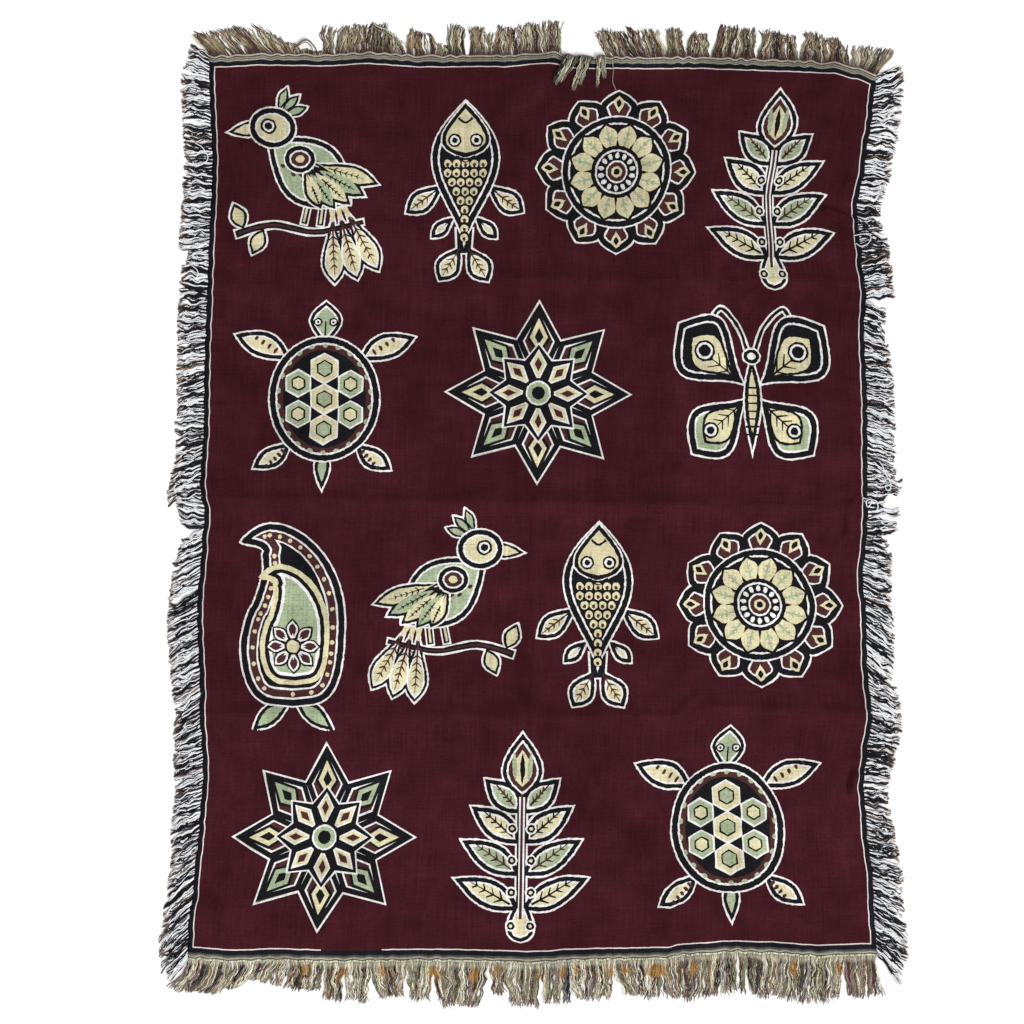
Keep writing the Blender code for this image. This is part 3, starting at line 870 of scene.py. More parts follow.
def teardrop(x, y, size, turn=0.0):
    """A paisley outline with its tip curled to one side."""
    spine = curve([(0, 0), (0, size * 0.3), (-size * 0.04, size * 0.6), (size * 0.02, size * 0.84),
                   (size * 0.16, size * 0.98), (size * 0.32, size * 0.95)], round(size / 14))
    shares = [index / (len(spine) - 1) for index in range(len(spine))]
    halves = [size * 0.34 * math.sin(math.pi * share ** 0.55) ** 0.8 * (1 - 0.45 * share)
              for share in shares]
    right, left = both_sides(spine, halves)
    return place(right + left[-2:0:-1], x, y, turn)


def paisley():
    """A curled seed pod with rows of dots and a flower inside."""
    art = []
    pod = teardrop(-10, -104, 205, 0)
    sprig = [place(shape, -10, -96) for shape in both([petal(0, 0, 62, 26, -118, 0.5, 8)])]
    banded(art, [pod] + sprig, EDGE)
    banded(art, sprig, ((6, SAGE),))
    banded(art, [pod], INNER_EDGE + ((9, WHITE), (11.2, BROWN), (20, WHITE), (22, BLACK)))
    for middle in grow(pod, -15.6)[::4]:
        art.append((CREAM, oval(*middle, 5.2, 5.2)))
    banded(art, [teardrop(-13, -78, 134, 0)], ((0, CREAM), (6, BLACK), (10.5, WHITE), (14, SAGE)))
    for step in range(8):
        banded(art, [petal(-12, -32, 33, 17, 45 * step, 0.62)], ((0, BLACK), (2, WHITE), (4, BROWN)))
    banded(art, [oval(-12, -32, 20, 20)], ((0, BLACK), (2.5, CREAM)))
    return art


# Motif, its middle on the flat cloth, its size, 1 or -1 for mirrored
LAYOUT = (
    (bird, -352, 506, 1.30, 1), (fish, -118, 486, 1.26, 1), (rosette, 120, 520, 1.24, 1),
    (spray, 372, 500, 1.32, 1), (turtle, -330, 158, 1.26, 1), (compass_star, 0, 172, 1.28, 1),
    (butterfly, 336, 172, 1.38, 1), (paisley, -386, -186, 1.30, -1), (bird, -152, -150, 1.26, -1),
    (fish, 96, -176, 1.28, 1), (rosette, 350, -158, 1.26, 1), (compass_star, -322, -516, 1.26, 1),
    (spray, -18, -512, 1.32, 1), (turtle, 300, -508, 1.30, 1),
)


def inside(points, outline):
    """Which of the points lie inside a closed outline."""
    x, y = points[:, 0, None], points[:, 1, None]
    x1, y1 = outline.T
    x2, y2 = np.roll(outline, -1, axis=0).T
    rise = np.where(y2 == y1, 1.0, y2 - y1)
    passed = ((y1 > y) != (y2 > y)) & (x < x1 + (y - y1) * (x2 - x1) / rise)
    return passed.sum(axis=1) % 2 == 1


def topmost_yarns(points, shapes):
    """Yarn of the last shape that covers each point, or the ground's."""
    yarns = np.full(len(points), MAROON)
    for yarn, outline in shapes:
        low, high = outline.min(axis=0), outline.max(axis=0)
        near = np.nonzero(((points > low) & (points < high)).all(axis=1))[0]
        yarns[near[inside(points[near], outline)]] = yarn
    return yarns


def triangulate(points, edges):
    """Triangles of the flat points cut along the edges, and where each given point went."""
    flat = [Vector(point) for point in points]
    verts, _, triangles, origins, _, _ = delaunay_2d_cdt(flat, edges, [], 0, 1e-4, True)
    place_of = {origin: index for index, group in enumerate(origins) for origin in group}
    return np.array([tuple(point) for point in verts]), np.array(triangles), place_of


def closed_edges(count, start=0):
    """Edges of a closed outline of so many points, the first with the given index."""
    return [(start + index, start + (index + 1) % count) for index in range(count)]


def seen_edges(shapes):
    """Where the yarn changes in a stack of shapes: the points, and the edges between them."""
    points = np.concatenate([outline for _, outline in shapes])
    edges = []
    for _, outline in shapes:
        edges += closed_edges(len(outline), len(edges))
    verts, triangles, _ = triangulate(points, edges)
    yarns = topmost_yarns(verts[triangles].mean(axis=1), shapes)
    sides = {}
    for triangle, yarn in zip(triangles.tolist(), yarns.tolist()):
        for start, end in zip(triangle, triangle[1:] + triangle[:1]):
            sides.setdefault((min(start, end), max(start, end)), []).append(yarn)
    seen = []
    for edge, beside in sides.items():
        beside = beside + [MAROON] * (2 - len(beside))
        if len(set(beside)) > 1:
            seen.append(edge)
    used = sorted({index for edge in seen for index in edge})
    order = {index: place for place, index in enumerate(used)}
    return verts[used], [(order[start], order[end]) for start, end in seen]


def weave_motifs():
    """Points and edges of all motifs on the flat cloth, and each motif's own shapes."""
    rng = np.random.default_rng(MOTIF_SEED)
    stacks = {}
    points, edges = [], []
    count = 0
    for motif, x, y, size, side in LAYOUT:
        if motif not in stacks:
            shapes = [(yarn, np.array(outline)) for yarn, outline in motif()]
            shapes = [(yarn, outline + rng.uniform(-OUTLINE_JITTER, OUTLINE_JITTER, outline.shape))
                      for yarn, outline in shapes]
            stacks[motif] = (shapes, *seen_edges(shapes))
        _, verts, pairs = stacks[motif]
        points.append(verts * (side * size, size) + (x, y))
        edges += [(start + count, end + count) for start, end in pairs]
        count += len(verts)
    return np.concatenate(points), edges, {motif: stack[0] for motif, stack in stacks.items()}


def yarns_at(points, shapes_of):
    """Yarn of the woven face at each of the flat points."""
    yarns = np.full(len(points), MAROON)
    for motif, x, y, size, side in LAYOUT:
        near = np.nonzero((np.abs(points - (x, y)) < MOTIF_REACH * size).all(axis=1))[0]
        found = topmost_yarns((points[near] - (x, y)) / (side * size, size), shapes_of[motif])
        yarns[near] = np.where(found == MAROON, yarns[near], found)
    return yarns


def mix(start, end, share):
    """The value that lies the given share of the way from start to end."""
    return start + (end - start) * share


def read_edge(table, place):
    """Outward pull at places in metres along an edge, eased between the table's rows."""
    rows = np.array(table) * MM
    index = np.clip(np.searchsorted(rows[:, 0], place), 1, len(rows) - 1)
    near, far = rows[index - 1], rows[index]
    share = np.clip((place - near[:, 0]) / (far[:, 0] - near[:, 0]), 0.0, 1.0)
    return mix(near[:, 1], far[:, 1], share * share * (3 - 2 * share))


def fade(distance):
    """How much of an edge's pull is felt at a distance inside it."""
    return np.exp(-(distance / EDGE_PULL_REACH) ** 2)


def plan(u, v):
    """Where the flat cloth's points (u, v) lie, seen from above, as in the part's source."""
    across = (u + HALF_WIDTH) / CLOTH_WIDTH
    along = (v + HALF_LENGTH) / CLOTH_LENGTH
    place = []
    for axis in (0, 1):
        low = mix(CORNER_BOTTOM_LEFT[axis], CORNER_BOTTOM_RIGHT[axis], across)
        high = mix(CORNER_TOP_LEFT[axis], CORNER_TOP_RIGHT[axis], across)
        place.append(mix(low, high, along) * MM)
    place[0] -= read_edge(LEFT_EDGE, v) * fade(HALF_WIDTH + u)
    place[0] += read_edge(RIGHT_EDGE, v) * fade(HALF_WIDTH - u)
    place[1] -= read_edge(BOTTOM_EDGE, u) * fade(HALF_LENGTH + v)
    place[1] += read_edge(TOP_EDGE, u) * fade(HALF_LENGTH - v)
    return place


def fold_distance(u, v, fold):
    """Distance of the points (u, v) from the line between a fold's ends."""
    u_start, v_start, u_end, v_end = (value * MM for value in fold[:4])
    run_u, run_v = u_end - u_start, v_end - v_start
    share = ((u - u_start) * run_u + (v - v_start) * run_v) / (run_u ** 2 + run_v ** 2)
    share = np.clip(share, 0.0, 1.0)
    return np.hypot(u - u_start - share * run_u, v - v_start - share * run_v)


def bump(distance, half_width):
    """A raised cosine: 1 at no distance, and 0 from the half width outward."""
    return 0.5 + 0.5 * np.cos(math.pi * np.clip(distance / half_width, 0.0, 1.0))


def swell(u, v, length, seed):
    """Unevenness between about -1 and 1 over the cloth, in swells of about the given length."""
    rng = np.random.default_rng(seed)
    total = 0.0
    for _ in range(8):
        turn, phase = rng.uniform(0.0, math.tau, 2)
        wave = (u * math.cos(turn) + v * math.sin(turn)) / (length * rng.uniform(0.7, 1.5))
        total = total + np.sin(math.tau * wave + phase)
    return total / 4


def lift(u, v):
    """Height of the solid's underside at (u, v), where folds that cross merge softly."""
    total = 0.0
    for fold in FOLDS:
        total = total + (fold[4] * bump(fold_distance(u, v, fold), fold[5] * MM)) ** 2
    return np.sqrt(total) * MM


def crests(u, v):
    """Height that the folds' uneven sharp crests add, and the creases take away."""
    total = 0.0
    for index, fold in enumerate(FOLDS):
        wander = swell(u, v, 0.11, CREST_SEED + index) * CREST_WANDER * MM
        distance = np.abs(fold_distance(u, v, fold) + wander)
        strength = 0.65 + 0.35 * swell(u, v, 0.16, CREST_STRENGTH_SEED + index)
        size = max(fold[4], LEAST_CREST) * CREST_SHARE
        total = total + size * strength * bump(distance, CREST_HALF_WIDTH * MM)
    for crease in CREASES:
        total = total - crease[4] * bump(fold_distance(u, v, crease), CREASE_HALF_WIDTH * MM)
    return total * MM


def near_edge(distance):
    """1 at an edge, easing to 0 at the scallops' reach inside it."""
    return bump(distance, SCALLOP_REACH * MM)


def scallops(place):
    """Drawn-in scallops of an end edge, between -1 and 1, uneven in length and depth."""
    slip = swell(place, place * 0, 0.10, SCALLOP_SLIP_SEED) * 0.014
    depth = 0.6 + 0.6 * swell(place, place * 0, 0.07, SCALLOP_DEPTH_SEED)
    return np.sin(math.tau * (place + slip) / (SCALLOP_LENGTH * MM)) * depth


def relief(u, v, with_crests=True):
    """Height of the lying cloth's underside at (u, v)."""
    height = lift(u, v)
    if with_crests:
        height = height + crests(u, v)
    for index, (length, size) in enumerate(SWELLS):
        height = height + (swell(u, v, length * MM, SWELL_SEED + index) + 1) * size * MM / 2
    ends = near_edge(HALF_LENGTH - np.abs(v))
    return height + ends * (1 + scallops(u + 0.006)) / 2 * SCALLOP_HEIGHT * MM


def surface(u, v, with_crests=True):
    """Places of the cloth's underside at the flat points (u, v), as rows of x, y and z."""
    x, y = plan(u, v)
    ends = near_edge(HALF_LENGTH - np.abs(v))
    sides = near_edge(HALF_WIDTH - np.abs(u))
    depth = np.where(v > 0.0, TOP_SCALLOP_DEPTH, BOTTOM_SCALLOP_DEPTH)
    y = y + ends * scallops(u) * depth * MM
    wave = np.sin(math.tau * v / (SIDE_WAVE_LENGTH * MM) + 3 * swell(v, u * 0, 0.2, SIDE_WAVE_SEED))
    x = x + sides * wave * SIDE_WAVE_DEPTH * MM
    return np.stack((x, y, np.maximum(relief(u, v, with_crests), 0.0)), axis=1)


def outline_points():
    """Points along the cloth's four edges, anticlockwise, in flat millimetres."""
    half_width, half_length = HALF_WIDTH / MM, HALF_LENGTH / MM
    across = np.linspace(-half_width, half_width, round(CLOTH_WIDTH / MM / EDGE_STEP) + 1)[:-1]
    along = np.linspace(-half_length, half_length, round(CLOTH_LENGTH / MM / EDGE_STEP) + 1)[:-1]
    sides = (
        np.stack((across, across * 0 - half_length), axis=1),
        np.stack((along * 0 + half_width, along), axis=1),
        np.stack((-across, across * 0 + half_length), axis=1),
        np.stack((along * 0 - half_width, -along), axis=1),
    )
    return np.concatenate(sides)


def inner_points(step):
    """Points inside the cloth at twice the step, closer by the edges, and at the step by folds."""
    count_u = int((HALF_WIDTH / MM - step * 0.8) / step)
    count_v = int((HALF_LENGTH / MM - step * 0.8) / step)
    column, row = np.meshgrid(np.arange(-count_u, count_u + 1), np.arange(-count_v, count_v + 1))
    column, row = column.ravel(), row.ravel()
    u, v = column * step, row * step
    beside = np.min([fold_distance(u * MM, v * MM, fold) for fold in FOLDS], axis=0)
    edge = np.minimum(HALF_WIDTH / MM - np.abs(u), HALF_LENGTH / MM - np.abs(v))
    coarse = (row % 2 == 0) & (((column + row) % 2 == 0) | (edge < EDGE_MARGIN))
    keep = (beside < FOLD_MARGIN * MM) | coarse
    return np.stack((u[keep], v[keep]), axis=1)


def add_piece(name, verts, faces):
    """A new object from numpy points and lists of faces, shaded smooth."""
    mesh = bpy.data.meshes.new(name)
    mesh.from_pydata(verts.tolist(), [], faces)
    mesh.shade_smooth()
    piece = bpy.data.objects.new(name, mesh)
    bpy.context.scene.collection.objects.link(piece)
    return piece


def set_attribute(piece, name, kind, domain, values):
    """Store values for the shader on each point or face of a piece."""
    field = {"FLOAT": "value", "FLOAT_VECTOR": "vector", "FLOAT_COLOR": "color"}[kind]
    layer = piece.data.attributes.new(name, kind, domain)
    layer.data.foreach_set(field, np.asarray(values, dtype=np.float32).ravel())


def build_cloth(shift):
    """The woven sheet: a face cut along the motifs, an underside, and the rim between them."""
    outline = outline_points()
    count = len(outline)
    inner = inner_points(FACE_STEP)
    art, art_edges, shapes_of = weave_motifs()
    before_art = count + len(inner)
    edges = closed_edges(count) + [(start + before_art, end + before_art) for start, end in art_edges]
    face, face_triangles, face_place = triangulate(np.concatenate((outline, inner, art)), edges)
    back, back_triangles, back_place = triangulate(
        np.concatenate((outline, inner_points(UNDERSIDE_STEP))), closed_edges(count))
    yarns = yarns_at(face[face_triangles].mean(axis=1), shapes_of)
    face, back = face * MM, back * MM
    upper = surface(*face.T) + (0, 0, SHEET_THICKNESS * MM)
    lower = surface(*back.T, with_crests=False)
    faces = face_triangles.tolist() + (back_triangles[:, ::-1] + len(face)).tolist()
    for before, after in closed_edges(count):
        faces.append((face_place[before], len(face) + back_place[before],
                      len(face) + back_place[after], face_place[after]))
    piece = add_piece("blanket_cloth", np.concatenate((upper, lower)) + shift, faces)
    flat = np.concatenate((face, back))
    layer = np.concatenate((np.ones(len(face)), np.zeros(len(back))))
    set_attribute(piece, "flat", "FLOAT_VECTOR", "POINT", np.column_stack((flat, layer)))
    tags = np.full(len(faces), MAROON)
    tags[:len(yarns)] = yarns
    set_attribute(piece, "yarn", "FLOAT", "FACE", (tags + 0.5) / len(YARNS))
    return piece


def linear(colour):
    """A colour from 0 to 255 in sRGB as linear light."""
    share = np.array(colour, dtype=float) / 255
    return np.where(share <= 0.04045, share / 12.92, ((share + 0.055) / 1.055) ** 2.4)


def pick_yarns(blend, count, rng):
    """Colours for so many yarns, in the shares of the blend."""
    colours = np.array([linear(colour) for colour, _ in blend])
    shares = np.array([share for _, share in blend], dtype=float)
    return colours[rng.choice(len(colours), count, p=shares / shares.sum())]


def tuft_of(tufts, place):
    """For places in millimetres along an edge: length and sideways travel of their yarn."""
    rows = np.array(tufts, dtype=float)
    row = rows[np.clip(np.searchsorted(rows[:, 1], place), 0, len(rows) - 1)]
    root_from, root_to, tip_from, tip_to, length_from, length_to = row.T
    share = np.clip((place - root_from) / (root_to - root_from), 0.0, 1.0)
    travel = mix(tip_from, tip_to, share) - mix(root_from, root_to, share)
    return mix(length_from, length_to, share), travel


def split_locks(tufts, width, rng):
    """Split the tufts into locks of about the width: rows of from and to."""
    locks = []
    for start, end, *_ in tufts:
        count = max(round((end - start) / width), 1)
        bounds = np.linspace(start, end, count + 1)
        bounds[1:-1] += rng.uniform(-LOCK_STRAY, LOCK_STRAY, count - 1) * width
        locks += list(zip(bounds, bounds[1:]))
    return np.array(locks)


def kinks(travel, size, longest, rng, group=None):
    """Sideways waves of yarns from travel along them, the same for all yarns of one group."""
    group = np.arange(len(travel)) if group is None else group
    count = group.max() + 1
    waves = 0.0
    for share, length in KINK_WAVES:
        phase = rng.uniform(0.0, math.tau, (count, 1))[group]
        period = longest * length * rng.uniform(*KINK_LENGTHS, (count, 1))[group]
        waves = waves + share * np.sin(math.tau * travel / period + phase)
    waves = waves * size * rng.uniform(*KINK_SIZES, (count, 1))[group]
    return waves * np.clip(travel / KINK_REACH, 0.0, 1.0)


def sweep(paths, radius, across):
    """Points and faces of round yarns along paths given as yarns by rings by xyz."""
    yarns, rings, _ = paths.shape
    tangent = np.gradient(paths, axis=1)
    tangent /= np.linalg.norm(tangent, axis=2, keepdims=True)
    side = across - (tangent @ across)[:, :, None] * tangent
    side /= np.linalg.norm(side, axis=2, keepdims=True)
    rise = np.cross(tangent, side)
    angle = math.tau * (np.arange(YARN_SIDES) + 0.5) / YARN_SIDES
    spread = np.cos(angle)[:, None] * side[:, :, None, :] + np.sin(angle)[:, None] * rise[:, :, None, :]
    points = paths[:, :, None, :] + radius[:, :, None, None] * spread
    index = np.arange(yarns * rings * YARN_SIDES).reshape(yarns, rings, YARN_SIDES)
    after = np.roll(index, -1, axis=2)
    walls = np.stack((index[:, :-1], after[:, :-1], after[:, 1:], index[:, 1:]), axis=3)
    faces = np.concatenate((walls.reshape(-1, 4), index[:, 0, ::-1], index[:, -1]))
    return points.reshape(-1, 3), faces.tolist()


def add_yarns(name, paths, radius, tones, across):
    """One piece of many yarns, with their colours and the place around and along each."""
    points, faces = sweep(paths, radius, np.array(across, dtype=float))
    piece = add_piece(name, points, faces)
    steps = np.linalg.norm(np.diff(paths, axis=1), axis=2)
    travel = np.concatenate((np.zeros((len(paths), 1)), np.cumsum(steps, axis=1)), axis=1)
    angle = math.tau * (np.arange(YARN_SIDES) + 0.5) / YARN_SIDES
    ply = np.empty(paths.shape[:2] + (YARN_SIDES, 3))
    ply[..., 0] = (travel + np.arange(len(paths))[:, None] * YARN_SPACING)[:, :, None]
    ply[..., 1] = np.cos(angle)
    ply[..., 2] = np.sin(angle)
    rgba = np.ones(paths.shape[:2] + (YARN_SIDES, 4))
    rgba[..., :3] = tones[:, :, None, :]
    set_attribute(piece, "ply", "FLOAT_VECTOR", "POINT", ply)
    set_attribute(piece, "tone", "FLOAT_COLOR", "POINT", rgba)
    return piece


def edge_frame(side, place):
    """Where an edge's places are on the cloth's underside, and its axes outward and along."""
    place = place * MM
    sign = 1 if side in ("top", "right") else -1
    if side in ("top", "bottom"):
        root = surface(place, place * 0 + sign * HALF_LENGTH)
        return root, np.array((0, sign, 0)), np.array((1, 0, 0))
    root = surface(place * 0 + sign * HALF_WIDTH, place)
    return root, np.array((sign, 0, 0)), np.array((0, 1, 0))


def yarn_radius(thick, share, rng):
    """Radius at each ring of yarns that are frayed thin at their tips."""
    own = thick * rng.uniform(0.8, 1.15, (len(share), 1))
    return own / 2 * (1 - FRAY * np.clip((share - FRAY_FROM) / FRAY_LENGTH, 0.0, 1.0) ** 2)


def shared(draw, low, high, of_group):
    """One random value for each group, given to all yarns of the group."""
    return draw(low, high, of_group.max() + 1)[of_group]


def root_yarns(side, make, rng):
    """The yarns that grow from an edge."""
    locks = split_locks(make.tufts, make.lock, rng)
    if side == "top":
        middles = locks.mean(axis=1)
        locks = locks[(middles < FOLDED_BACK[0]) | (middles > FOLDED_BACK[1])]
    counts = np.maximum(np.round((locks[:, 1] - locks[:, 0]) * make.density), 2).astype(int)
    of_lock = np.repeat(np.arange(len(locks)), counts)
    start, end = locks[of_lock].T
    place = np.sort(rng.uniform(start, end))
    stray = swell(place, place * 0, make.bundle * BUNDLE_STRAY_LENGTH, make.seed)
    uneven = place + stray * make.bundle * BUNDLE_STRAY
    of_bundle = np.cumsum(np.diff(uneven // make.bundle, prepend=0) != 0)
    length, travel = tuft_of(make.tufts, place)
    length *= mix(1.0, shared(rng.uniform, *LOCK_LENGTHS, of_lock), make.ragged)
    length *= mix(1.0, rng.triangular(*YARN_LENGTHS, len(place)), make.ragged)
    return Yarns(place, of_lock, of_bundle, (start + end) / 2, length, travel)


def lie_along(make, yarns, share, beyond, rng):
    """How far sideways the yarns lie at each ring: lean, bow, hooked tips, flow and kinks."""
    place, count = yarns.place, len(yarns.place)
    sway = swell(place, place * 0, SWAY_LENGTH, make.seed + SWAY_SEED) * SWAY
    lean = yarns.travel + yarns.length * (shared(rng.normal, 0.0, LOCK_LEAN, yarns.of_lock) + sway
                                          + shared(rng.normal, 0.0, BUNDLE_LEAN, yarns.of_bundle)
                                          + rng.normal(0.0, YARN_LEAN, count) * make.frizz)
    gather = (yarns.middle - place) * shared(rng.uniform, 0.0, GATHER, yarns.of_lock) * make.frizz
    bow = shared(rng.normal, 0.0, LOCK_BOW, yarns.of_lock) + rng.normal(0.0, YARN_BOW, count)
    hook = shared(rng.normal, 0.0, 1.0, yarns.of_bundle) * HOOK
    along = lean[:, None] * share ** make.late + gather[:, None] * share ** 1.4
    along += (bow[:, None] * np.sin(math.pi * share)
              + hook[:, None] * np.maximum(share - HOOK_FROM, 0.0) ** 2 * 6)
    for length, size in make.flow:
        flow = swell(place[:, None], beyond, length, int(length) + make.seed)
        along += flow * size * np.clip(beyond / KINK_REACH, 0, 1)
    along += (kinks(beyond, make.kink, BUNDLE_KINK_LENGTH, rng, yarns.of_bundle)
              + kinks(beyond, make.kink * make.frizz, YARN_KINK_LENGTH, rng))
    return along


def pile_up(yarns, share, beyond, rng):
    """How high the yarns lie on the yarns beneath, at each ring."""
    hump = np.sin(math.pi * np.clip(share * 1.15, 0.0, 1.0) ** 0.6) ** 0.8
    hump = hump * np.clip(beyond / PILE_REACH, 0.0, 1.0)
    layer = (BUNDLE_LAYER * shared(rng.uniform, 0.0, 1.0, yarns.of_bundle)
             + YARN_LAYER * rng.uniform(0.0, 1.0, len(share)))
    return PILE_HEIGHT * layer[:, None] * hump + kinks(beyond, HEIGHT_KINK, YARN_KINK_LENGTH, rng)


def lying_yarns(side, make, rng):
    """Yarns that lie out from an edge: paths, radius, place of the root, bundle, share of length."""
    yarns = root_yarns(side, make, rng)
    share = np.repeat(np.linspace(0.0, 1.0, YARN_RINGS)[None, :], len(yarns.place), axis=0)
    out = (yarns.length + ROOT_DEPTH)[:, None] * share - ROOT_DEPTH
    beyond = np.maximum(out, 0.0)
    along = lie_along(make, yarns, share, beyond, rng)
    height = pile_up(yarns, share, beyond, rng)
    root, outward, across = edge_frame(side, yarns.place)
    radius = yarn_radius(make.thick, share, rng) * MM
    drop = np.clip(out / SLOPE_REACH, 0.0, 1.0)
    base = (root[:, 2, None] + SHEET_THICKNESS * MM / 2) * (1 - drop) ** 2
    paths = root[:, None, :] + (outward * out[:, :, None] + across * along[:, :, None]) * MM
    paths[:, :, 2] = np.maximum(base + height * MM + radius * drop, radius)
    return paths, radius, yarns.place, yarns.of_bundle, share


def folded_yarns(make, rng):
    """The yarns of the top fringe that are folded back over the cloth."""
    route = np.array(curve([(out, height) for out, height in FOLDED_PATH], 8))
    travel = np.concatenate(([0.0], np.cumsum(np.hypot(*np.diff(route, axis=0).T))))
    share = np.linspace(0.0, 1.0, YARN_RINGS)
    out = np.interp(share * travel[-1], travel, route[:, 0])
    height = np.interp(share * travel[-1], travel, route[:, 1])
    paths, places = [], []
    for root_from, root_to, tip, tip_width, reach in FOLDED_LOCKS:
        count = round((root_to - root_from) * make.density * FOLDED_SHARE)
        place = np.sort(rng.uniform(root_from, root_to, (count, 1)), axis=0)
        aim = tip + (place - (root_from + root_to) / 2) / (root_to - root_from) * tip_width
        long = reach * rng.triangular(0.8, 1.0, 1.05, (count, 1))
        root, outward, across = edge_frame("top", place[:, 0])
        rings = np.repeat(share[None, :] * travel[-1], count, axis=0)
        bend = kinks(rings, FOLDED_KINK, FOLDED_KINK_LENGTH, rng)
        pull = np.where(out < 0, out * long, out) * np.ones((count, 1))
        path = root[:, None, :] + outward * pull[:, :, None] * MM
        path = path + across * ((aim - place) * share ** 1.2 + bend)[:, :, None] * MM
        pile = rng.uniform(0.0, FOLDED_PILE, (count, 1)) * np.clip(share * 6, 0.0, 1.0)
        path[:, :, 2] += (height + pile) * MM
        paths.append(path)
        places.append(place[:, 0])
    paths = np.concatenate(paths)
    of_bundle = np.arange(len(paths)) // FOLDED_BUNDLE
    share = np.repeat(share[None, :], len(paths), axis=0)
    radius = yarn_radius(make.thick, share, rng) * MM
    return paths, radius, np.concatenate(places), of_bundle, share


def tint(tones, colours, share):
    """Tones drawn towards a colour for each yarn by a share at each ring."""
    return mix(tones, np.broadcast_to(colours, (len(tones), 3))[:, None, :], share[:, :, None])


def patches(ranges, place):
    """1 for the yarns whose roots lie in one of the ranges along the edge, and 0 elsewhere."""
    return np.any([(place > start) & (place < end) for start, end in ranges], axis=0)[:, None]


def close_to(share, middle, spread):
    """1 at a place along the yarns, fading to 0 away from it."""
    return np.exp(-((share - middle) / spread) ** 2)


def shade_yarns(side, blend, fleck, place, of_bundle, share, rng):
    """Colour of each yarn at each ring, with roots and tips of their own, and painted shade at the top
    roots.
    """
    count = len(of_bundle)
    bundles = of_bundle.max() + 1
    lead = pick_yarns(blend, bundles, rng)[of_bundle]
    if blend is SIDE_BLEND:
        turn = np.cumsum(rng.uniform(0.0, 1.0, bundles) < TURN_SHARE) % 2
        lead = np.array([linear(colour) for colour in (SNOW, INK)])[turn][of_bundle]
    # In the side fringes these own colours are mostly ink: partly real black strands, partly painted
    # shade between the white strands
    alone = rng.uniform(0.0, 1.0, (count, 1)) < OWN_COLOUR
    own = np.where(alone, pick_yarns(blend, count, rng), lead)
    own = own * rng.uniform(1 - fleck, 1 + fleck * 0.7, (count, 1))
    tones = own[:, None, :] * rng.uniform(1 - fleck * 0.6, 1 + fleck * 0.6, share.shape + (1,))
    tip = np.clip((share - TIP_FROM) / (1 - TIP_FROM), 0.0, 1.0)
    if side == "top":
        gilt = np.sin(math.pi * share) * patches(TOP_GILT, place)
        tones = tint(tones, linear(DULL_GOLD), gilt * rng.uniform(0.0, TOP_GILT_DEPTH, (count, 1)))
        tones = tint(tones, pick_yarns(TIP_BLEND, count, rng), tip * TOP_TIP_DEPTH)
        # Painted shade at the top roots, darkest by the cloth
        root = np.clip(1.15 - share / TOP_PAINTED_SHADE_REACH, 0.0, TOP_PAINTED_SHADE_DEPTH)
        return tint(tones, linear(TOP_PAINTED_ROOT_SHADE), root)
    if side == "bottom":
        gilt = close_to(share, *BOTTOM_GILT_AT) * patches(BOTTOM_GILT, place)
        tones = tint(tones, linear(GOLD), gilt * BOTTOM_GILT_DEPTH)
        tones = tint(tones, pick_yarns(TIP_BLEND, count, rng), tip * BOTTOM_TIP_DEPTH)
        pale = rng.uniform(0.2, 1.0, (count, 1))
        return tint(tones, linear(BOTTOM_ROOT), close_to(share, *BOTTOM_ROOT_AT) * pale)
    dyed = rng.uniform(0.0, 1.0, count) < DYED_TIPS
    return tint(tones, linear(SIDE_TIP), tip * dyed[:, None] * SIDE_TIP_DEPTH)


def build_fringe(side, shift):
    """The fringe along one side of the cloth."""
    make = FRINGES[side]
    rng = np.random.default_rng(make.seed)
    parts = [lying_yarns(side, make, rng)]
    if side == "top":
        parts.append(folded_yarns(make, rng))
    tones = [shade_yarns(side, blend, make.fleck, *part[2:], rng)
             for blend, part in zip((make.blend, FOLDED_BLEND), parts)]
    paths = np.concatenate([part[0] for part in parts]) + shift
    radius = np.concatenate([part[1] for part in parts])
    _, _, across = edge_frame(side, np.zeros(1))
    return add_yarns("fringe_yarns_" + side, paths, radius, np.concatenate(tones), across)


def build_threads(shift):
    """Single threads that have come loose and lie over the fringes and the cloth's edge."""
    paths, radii, tones = [], [], []
    for side, colour, thick, points in THREADS:
        line = np.array(curve(points, THREAD_SMOOTH))
        travel = np.concatenate(([0.0], np.cumsum(np.linalg.norm(np.diff(line, axis=0), axis=1))))
        even = np.linspace(0.0, travel[-1], THREAD_RINGS)
        place, out, height = (np.interp(even, travel, line[:, axis]) for axis in range(3))
        root, outward, _ = edge_frame(side, place)
        path = root + outward * out[:, None] * MM
        path[:, 2] = (height + THREAD_LIFT) * MM
        paths.append(path)
        radii.append(np.full(THREAD_RINGS, thick / 2 * MM))
        tones.append(np.tile(linear(colour), (THREAD_RINGS, 1)))
    paths = np.array(paths) + shift
    return add_yarns("loose_threads", paths, np.array(radii), np.array(tones), (0, 0, 1))


def add_node(tree, kind, inputs=None, **settings):
    """A shader node with its settings, and its inputs given as values or as other sockets."""
    node = tree.nodes.new("ShaderNode" + kind)
    for name, value in settings.items():
        setattr(node, name, value)
    for key, value in (inputs or {}).items():
        if isinstance(value, bpy.types.NodeSocket):
            tree.links.new(value, node.inputs[key])
        else:
            node.inputs[key].default_value = value
    return node


def compute(tree, operation, *values):
    """The result of one math node."""
    return add_node(tree, "Math", dict(enumerate(values)), operation=operation).outputs[0]


def times(tree, first, second):
    """The product of two values."""
    return compute(tree, "MULTIPLY", first, second)


def below(tree, value, limit):
    """1 where the value is less than the limit, and 0 elsewhere."""
    return compute(tree, "LESS_THAN", value, limit)


def apart(tree, value, middle):
    """How far a value lies from a middle."""
    return compute(tree, "ABSOLUTE", compute(tree, "SUBTRACT", value, middle))


